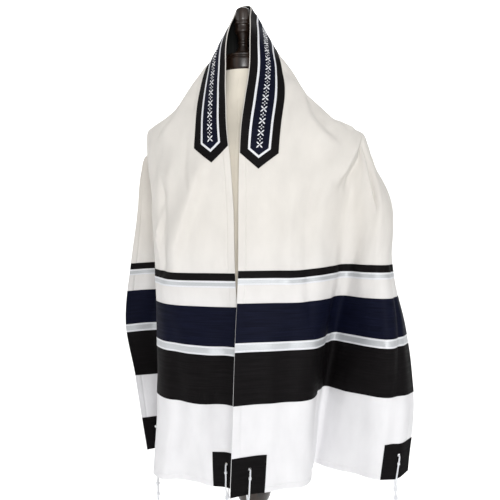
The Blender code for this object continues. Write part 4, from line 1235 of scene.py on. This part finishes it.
class TALLIT_OT_neckband(Operator):
    """Lay the pointed neckband with its braid and its plain ornament"""

    bl_idname = "tallit.neckband"
    bl_label = "Neckband"

    def execute(self, context):
        settings = context.scene.tallit_cloth
        satin = satin_finish("neckband_satin", settings.black_colour, settings, 0.00025)
        navy = satin_finish("neckband_navy", settings.navy_colour, settings, 0.00025)
        braid = ribbon_finish("neckband_braid", settings.trim_colour, settings)
        thread = cotton_finish("ornament_thread", settings.trim_colour)

        piece = shell("neckband_ground_sewn", *neckband_grid(0), LAYER_FROM, LAYER_TOP, [satin])
        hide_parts("neckband_ground")

        base = LAYER_TOP + PANEL_GAP
        piece = shell("neckband_panel_sewn", *neckband_grid(TRIM_INSET + TRIM_WIDTH / 2),
                      base, base + LAYER_THICK, [navy])
        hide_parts("neckband_panel")

        flat, quads, heights = trim_grid()
        base += LAYER_THICK
        piece = shell("neckband_trim_braid", flat, quads, base, base + heights, [braid])
        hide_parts("neckband_trim")

        base = LAYER_TOP + LAYER_THICK
        count = int((NECKBAND_CORNER - MOTIF_MARGIN) / MOTIF_STEP)
        parts = []
        for k in range(-2 * count, 2 * count + 1):
            middle = np.array((NECKBAND_SHIFT + k * MOTIF_STEP / 2, sum(NECKBAND_ACROSS) / 2))
            if k % 2 == 0:
                length, width, height = FLOWER_HEART
                parts += motif(middle, FLOWER_PETALS, base)
                parts.append(petal(middle, 0, length, width, base, height))
            else:
                parts += motif(middle, LOZENGE_PETALS, base)
        points, faces = join_parts(parts)
        ornament = add_mesh("neckband_ornament", points, faces, [thread])
        return {"FINISHED"}


# ---------------------------------------------------------------- strings

def level(turn):
    """A level direction, one long."""
    return np.array((math.cos(turn), math.sin(turn), 0))


def twisted(route, radius, thread, count, pitch, sides=6):
    """Threads twisted round a route."""
    runs = unit(np.gradient(route, axis=0))
    aside = unit(np.cross(runs, TWIST_ASIDE))
    over = np.cross(runs, aside)
    turns = lengths_along(route)[:, None] / pitch
    parts = []
    for k in range(count):
        turn = 2 * math.pi * (turns + k / count)
        parts.append(tube(route + radius * (np.cos(turn) * aside + np.sin(turn) * over),
                          thread, sides))
    return parts


def resample(route, step):
    """A smooth route through the given points, with even short steps."""
    length = lengths_along(route)
    count = max(4, int(length[-1] / step))
    return smooth_table(length, route, np.linspace(0, length[-1], count))


def knot(centre, radius, height, dice):
    """A double knot: short turns of cord, each a little tilted."""
    wide = radius * KNOT_WIDE
    parts = []
    for at, tilt in KNOT_TURNS:
        turns = np.linspace(0, 2 * math.pi * KNOT_OVERLAP, KNOT_STEPS) + dice.uniform(0, 6)
        lie = dice.uniform(0, math.pi)
        ring = np.stack([wide * np.cos(turns), wide * np.sin(turns),
                         at * height + tilt * wide * np.sin(turns + lie)], axis=1)
        parts.append(tube(centre + ring, radius * KNOT_THICK, sides=8))
    return parts


def eyelet_loop(eyelet):
    """The loop's route: up the front from the hem, in at the eyelet and down the back."""
    along, across = eyelet
    down = math.copysign(1, along)
    hem = down * HALF_LENGTH
    rest = along + down * LOOP_BELOW_CENTRE
    spots = ((hem, LOOP_FRONT), ((along + hem) / 2, LOOP_FRONT),
             (along + down * LOOP_BENDS[0], LOOP_FRONT), (rest, LOOP_FRONT * LOOP_TURN),
             (rest, 0.0), (rest, LOOP_BACK * LOOP_TURN),
             (along + down * LOOP_BENDS[1], LOOP_BACK), ((along + hem) / 2, LOOP_BACK),
             (hem, LOOP_BACK))
    return cloth_surface().at([(place, across) for place, _ in spots],
                              [height for _, height in spots])


def windings(head, top, bottom, turns, thread, wide):
    """One thread wound round the others between two knots, over a plain core."""
    steps = np.linspace(0, 1, turns * WINDING_STEPS + 1)
    wind = 2 * math.pi * turns * steps
    coil = np.stack([head[0] + wide * np.cos(wind), head[1] + wide * np.sin(wind),
                     top + (bottom - top) * steps], axis=1)
    core = [(*head[:2], top + CORE_REACH), (*head[:2], bottom - CORE_REACH)]
    return [tube(coil, min(thread, (top - bottom) / turns * WINDING_THICK)),
            tube(core, wide, sides=8)]


def free_strand(start, turn, spread, sway, thread, dice):
    """One hanging strand: two plies that wave a little, with a knotted end."""
    length = STRAND_LENGTH * dice.uniform(*STRAND_SHARES)
    share = np.linspace(0, 1, STRAND_STEPS)
    reach = STRAND_START + spread * share ** 1.5
    strand = start + reach[:, None] * level(turn) - (share * length)[:, None] * (0, 0, 1)
    for _ in range(STRAND_WAVES):
        waves = dice.uniform(*STRAND_WAVE_TURNS)
        turn = dice.uniform(0, 2 * math.pi)
        size = dice.uniform(*STRAND_WAVE_SIZES) * np.sin(share * math.pi / 2)
        strand += (size * np.sin(waves * 2 * math.pi * share + turn))[:, None] * level(turn)
    strand[:, :2] += share[:, None] * sway
    end = [strand[-1] + (0, 0, END_KNOT_HALF), strand[-1] - (0, 0, END_KNOT_HALF)]
    return (twisted(strand, radius=thread * 0.45, thread=thread * 0.6, count=2, pitch=0.35,
                    sides=5) + [tube(end, thread * END_KNOT_WIDE, sides=7)])


def corner_threads(eyelet, settings, dice):
    """The parts of one corner's strings."""
    along, across = eyelet
    thread = settings.thread_radius / CM
    knot_size = settings.knot_radius / CM
    loop = eyelet_loop(eyelet)
    head = (loop[0] + loop[-1]) / 2 - (0, 0, CORD_BELOW_HEM)
    facing = unit((loop[0] - loop[-1]) * (1, 1, 0))
    root = head - (0, 0, KNOT_LENGTH / 2)
    loop = np.concatenate([[root + facing * LOOP_CLOSE], loop, [root - facing * LOOP_CLOSE]])
    parts = twisted(resample(loop, LOOP_STEP), radius=thread * 1.25, thread=thread * 1.05,
                    count=4, pitch=1.1)

    below = along + math.copysign(FIRST_KNOT_BELOW, along)
    first = cloth_surface().at((below, across), LOOP_FRONT + FIRST_KNOT_LIFT)[0]
    parts += knot(first, knot_size * FIRST_KNOT_WIDE, KNOT_LENGTH * FIRST_KNOT_LONG, dice)

    sway = dice.uniform(-SWAY, SWAY), dice.uniform(-SWAY, SWAY)
    for k, depth in enumerate(KNOT_DEPTHS):
        centre = head - (0, 0, depth + KNOT_LENGTH / 2)
        parts += knot(centre, knot_size, KNOT_LENGTH, dice)
        if k < len(WINDINGS):
            parts += windings(head, centre[2] - KNOT_LENGTH / 2 + WINDING_GAP,
                              head[2] - KNOT_DEPTHS[k + 1] - WINDING_GAP,
                              WINDINGS[k], thread, settings.cord_radius / CM - thread)
    start = head - (0, 0, KNOT_DEPTHS[-1] + KNOT_LENGTH * STRAND_FROM)
    for k in range(settings.strands):
        turn = math.atan2(facing[1], facing[0]) + 2 * math.pi * k / settings.strands
        parts += free_strand(start, turn, STRAND_SPREADS[k % 2], sway, thread, dice)
    return parts


class TALLIT_OT_strings(Operator):
    """Tie the knotted strings through the four eyelets"""

    bl_idname = "tallit.strings"
    bl_label = "Corner strings"

    def execute(self, context):
        settings = context.scene.tallit_strings
        cotton = cotton_finish("twisted_cotton", settings.colour)
        names = ("left_front", "left_side", "right_front", "right_side")
        for index, (name, eyelet) in enumerate(zip(names, EYELETS)):
            dice = random.Random(STRING_SEED + index)
            points, faces = join_parts(corner_threads(eyelet, settings, dice))
            piece = add_mesh(f"corner_string_{name}_threads", points, faces, [cotton])
            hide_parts(f"corner_string_{name}")
        return {"FINISHED"}


# ---------------------------------------------------------------- form

BODY_SIDES = 112
BODY_RINGS = 150
# The seams' places round the form, in degrees, how far the slanting ones swing, and the
# rings that they pass through.
SEAM_TURNS = (-90, -128, -52, 0, 52, 90, 128, 180)
STRAIGHT_SEAMS = (-90, 0, 90, 180)
SEAM_DRIFT = 6.0
SEAM_RINGS = slice(4, -1, 2)


def body_sections(heights):
    """Half width, half depth, centre y and chest of the form at given heights."""
    table = np.array(TORSO_SECTIONS)[::-1]
    return smooth_table(table[:, 0], table[:, 1:], heights)


def body_point(section, turn, margin):
    """A point of the form's horizontal outline, moved inwards by a margin."""
    half_width, half_depth, centre_y, chest = section
    power = 2 / TORSO_SQUARENESS
    c, s = math.cos(turn), math.sin(turn)
    forward = chest * max(0.0, -s) ** CHEST_SHARPNESS
    return ((half_width - margin) * math.copysign(abs(c) ** power, c),
            centre_y + (half_depth - margin) * math.copysign(abs(s) ** power, s) - forward)


class TALLIT_OT_form(Operator):
    """Make the form's jersey body with its seams"""

    bl_idname = "tallit.form"
    bl_label = "Form"

    def execute(self, context):
        settings = context.scene.tallit_form
        top, bottom = TORSO_SECTIONS[0][0], TORSO_SECTIONS[-1][0]
        heights = np.linspace(top, bottom, BODY_RINGS)
        sections = body_sections(heights)
        points = [(*body_point(section, turn, TORSO_INSET), z)
                  for z, section in zip(heights, sections) for turn in ring_turns(BODY_SIDES)]
        parts = [(points, ring_faces(BODY_RINGS, BODY_SIDES, downwards=True))]
        radius = settings.seam_radius / CM
        for degrees in SEAM_TURNS:
            drift = 0 if degrees in STRAIGHT_SEAMS else math.copysign(SEAM_DRIFT, degrees)
            route = []
            for z, section in zip(heights[SEAM_RINGS], sections[SEAM_RINGS]):
                waist = math.sin((z - bottom) / (top - bottom) * 2 * math.pi)
                turn = math.radians(degrees + drift * waist)
                route.append((*body_point(section, turn, TORSO_INSET + radius * 0.5), z))
            parts.append(tube(route, radius))
        piece = add_mesh("form_jersey", *join_parts(parts), [jersey_finish(settings)])
        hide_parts("form_body")
        return {"FINISHED"}


class TALLIT_OT_stand(Operator):
    """Turn the neck finial, the pole and the round base"""

    bl_idname = "tallit.stand"
    bl_label = "Stand"

    def execute(self, context):
        wood = wood_finish(context.scene.tallit_form)
        for name, profile, centre_y in (("form_neck_finial", FINIAL_PROFILE, NECK_CENTRE_Y),
                                        ("form_pole", HUB_PROFILE, 0),
                                        ("form_base", BASE_PROFILE, 0)):
            piece = add_mesh(name + "_turned", *lathe(profile, centre_y), [wood])
            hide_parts(name)
        return {"FINISHED"}


# ---------------------------------------------------------------- stage

# The backdrop, in metres: half its width and reach, where the wall stands, the radius
# of the bend below it and its height.
FLOOR_REACH = 6.0
WALL_AWAY = 3.4
WALL_BEND = 1.2
WALL_HEIGHT = 5.0
BEND_TURNS = np.linspace(0.1, math.pi / 2, 14)
# Each light: name, place, size and power as a share of the key's.
LIGHTS = (
    ("key", (0.7, -2.45, 1.7), 0.8, 1.0),
    ("left", (-2.2, -1.2, 1.7), 1.4, 0.30),
    ("right", (2.1, -1.4, 1.9), 1.2, 0.22),
)
LIGHT_TARGET = (0, 0, 1.15)
# A wide lamp over the backdrop: place, target, width, depth and share of the power.
BACKDROP_LAMP = ((-0.4, 1.9, 3.6), (-0.8, WALL_AWAY, 1.0), 4.5, 0.8, 3.8)


def lay_backdrop(context, settings):
    """The floor and the wall, in one sheet that bends between them."""
    profile = [(-FLOOR_REACH, 0.0), (WALL_AWAY - WALL_BEND, 0.0)]
    profile += [(WALL_AWAY - WALL_BEND + WALL_BEND * math.sin(turn),
                 WALL_BEND - WALL_BEND * math.cos(turn)) for turn in BEND_TURNS]
    profile.append((WALL_AWAY, WALL_HEIGHT))
    points = [(x, y, z) for y, z in profile for x in (-FLOOR_REACH, FLOOR_REACH)]
    faces = [(2 * k, 2 * k + 1, 2 * k + 3, 2 * k + 2) for k in range(len(profile) - 1)]
    mesh = bpy.data.meshes.new("backdrop")
    mesh.from_pydata(points, [], faces)
    mesh.shade_smooth()
    mesh.materials.append(Finish("backdrop_paper", settings.backdrop_colour, 0.9).material)
    backdrop = bpy.data.objects.new("backdrop", mesh)
    context.scene.collection.objects.link(backdrop)
    backdrop.rotation_euler.z = settings.azimuth


def area_lamp(context, name, place, target, size, power):
    """A soft square lamp that faces a target."""
    lamp = bpy.data.lights.new(name, "AREA")
    lamp.size = size
    lamp.energy = power
    item = bpy.data.objects.new(name, lamp)
    item.location = place
    item.rotation_euler = (Vector(target) - Vector(place)).to_track_quat("-Z", "Y").to_euler()
    item.visible_camera = False
    context.scene.collection.objects.link(item)
    return lamp


def light_stage(context, settings):
    """The lamps and the even light from all round."""
    for name, place, size, share in LIGHTS:
        area_lamp(context, name, place, LIGHT_TARGET, size, settings.key_power * share)
    place, target, width, depth, share = BACKDROP_LAMP
    lamp = area_lamp(context, "backdrop_lamp", place, target, width, settings.key_power * share)
    lamp.shape = "RECTANGLE"
    lamp.size_y = depth

    context.scene.view_settings.view_transform = "Standard"
    world = bpy.data.worlds.new("studio")
    world.use_nodes = True
    background = world.node_tree.nodes["Background"]
    background.inputs["Color"].default_value = (1, 1, 1, 1)
    background.inputs["Strength"].default_value = settings.sky
    context.scene.world = world


def set_camera(context, settings):
    """A level camera, turned round the form's axis."""
    lens = bpy.data.cameras.new("camera")
    lens.sensor_width = 36
    lens.lens = CAMERA_LENS
    lens.shift_y = CAMERA_SHIFT
    lens.clip_end = 50
    camera = bpy.data.objects.new("camera", lens)
    camera.location = (settings.distance * math.sin(settings.azimuth),
                       -settings.distance * math.cos(settings.azimuth), settings.height)
    camera.rotation_euler = (math.pi / 2, math.radians(CAMERA_ROLL), settings.azimuth)
    context.scene.collection.objects.link(camera)
    context.scene.camera = camera


class TALLIT_OT_stage(Operator):
    """Set the floor, the backdrop, the lights and the camera"""

    bl_idname = "tallit.stage"
    bl_label = "Stage"

    def execute(self, context):
        settings = context.scene.tallit_stage
        lay_backdrop(context, settings)
        light_stage(context, settings)
        set_camera(context, settings)
        return {"FINISHED"}


# ---------------------------------------------------------------- panel

OPERATORS = (TALLIT_OT_cloth, TALLIT_OT_bands, TALLIT_OT_patches, TALLIT_OT_neckband,
             TALLIT_OT_strings, TALLIT_OT_form, TALLIT_OT_stand, TALLIT_OT_stage)
SETTINGS = {
    "tallit_cloth": TallitClothSettings,
    "tallit_strings": TallitStringSettings,
    "tallit_form": TallitFormSettings,
    "tallit_stage": TallitStageSettings,
}


class TALLIT_PT_panel(Panel):
    """Buttons and settings in the 3D view's sidebar"""

    bl_idname = "TALLIT_PT_panel"
    bl_label = "Tallit"
    bl_space_type = "VIEW_3D"
    bl_region_type = "UI"
    bl_category = "Tallit"

    def draw(self, context):
        for kind in OPERATORS:
            self.layout.operator(kind.bl_idname)
        for name, group in SETTINGS.items():
            box = self.layout.box()
            box.label(text=group.__doc__.strip("."))
            for key in group.__annotations__:
                box.prop(getattr(context.scene, name), key)


def register():
    """Register the settings, the operators and the panel."""
    for name, group in SETTINGS.items():
        bpy.utils.register_class(group)
        setattr(bpy.types.Scene, name, PointerProperty(type=group))
    for kind in (*OPERATORS, TALLIT_PT_panel):
        bpy.utils.register_class(kind)


def unregister():
    """Undo what register did."""
    for kind in reversed((*OPERATORS, TALLIT_PT_panel)):
        bpy.utils.unregister_class(kind)
    for name, group in reversed(SETTINGS.items()):
        delattr(bpy.types.Scene, name)
        bpy.utils.unregister_class(group)


def main():
    """Build every piece in order."""
    register()
    bpy.ops.tallit.stage()
    bpy.ops.tallit.cloth()
    bpy.ops.tallit.bands()
    bpy.ops.tallit.patches()
    bpy.ops.tallit.neckband()
    bpy.ops.tallit.strings()
    bpy.ops.tallit.form()
    bpy.ops.tallit.stand()


if __name__ == "__main__":
    main()
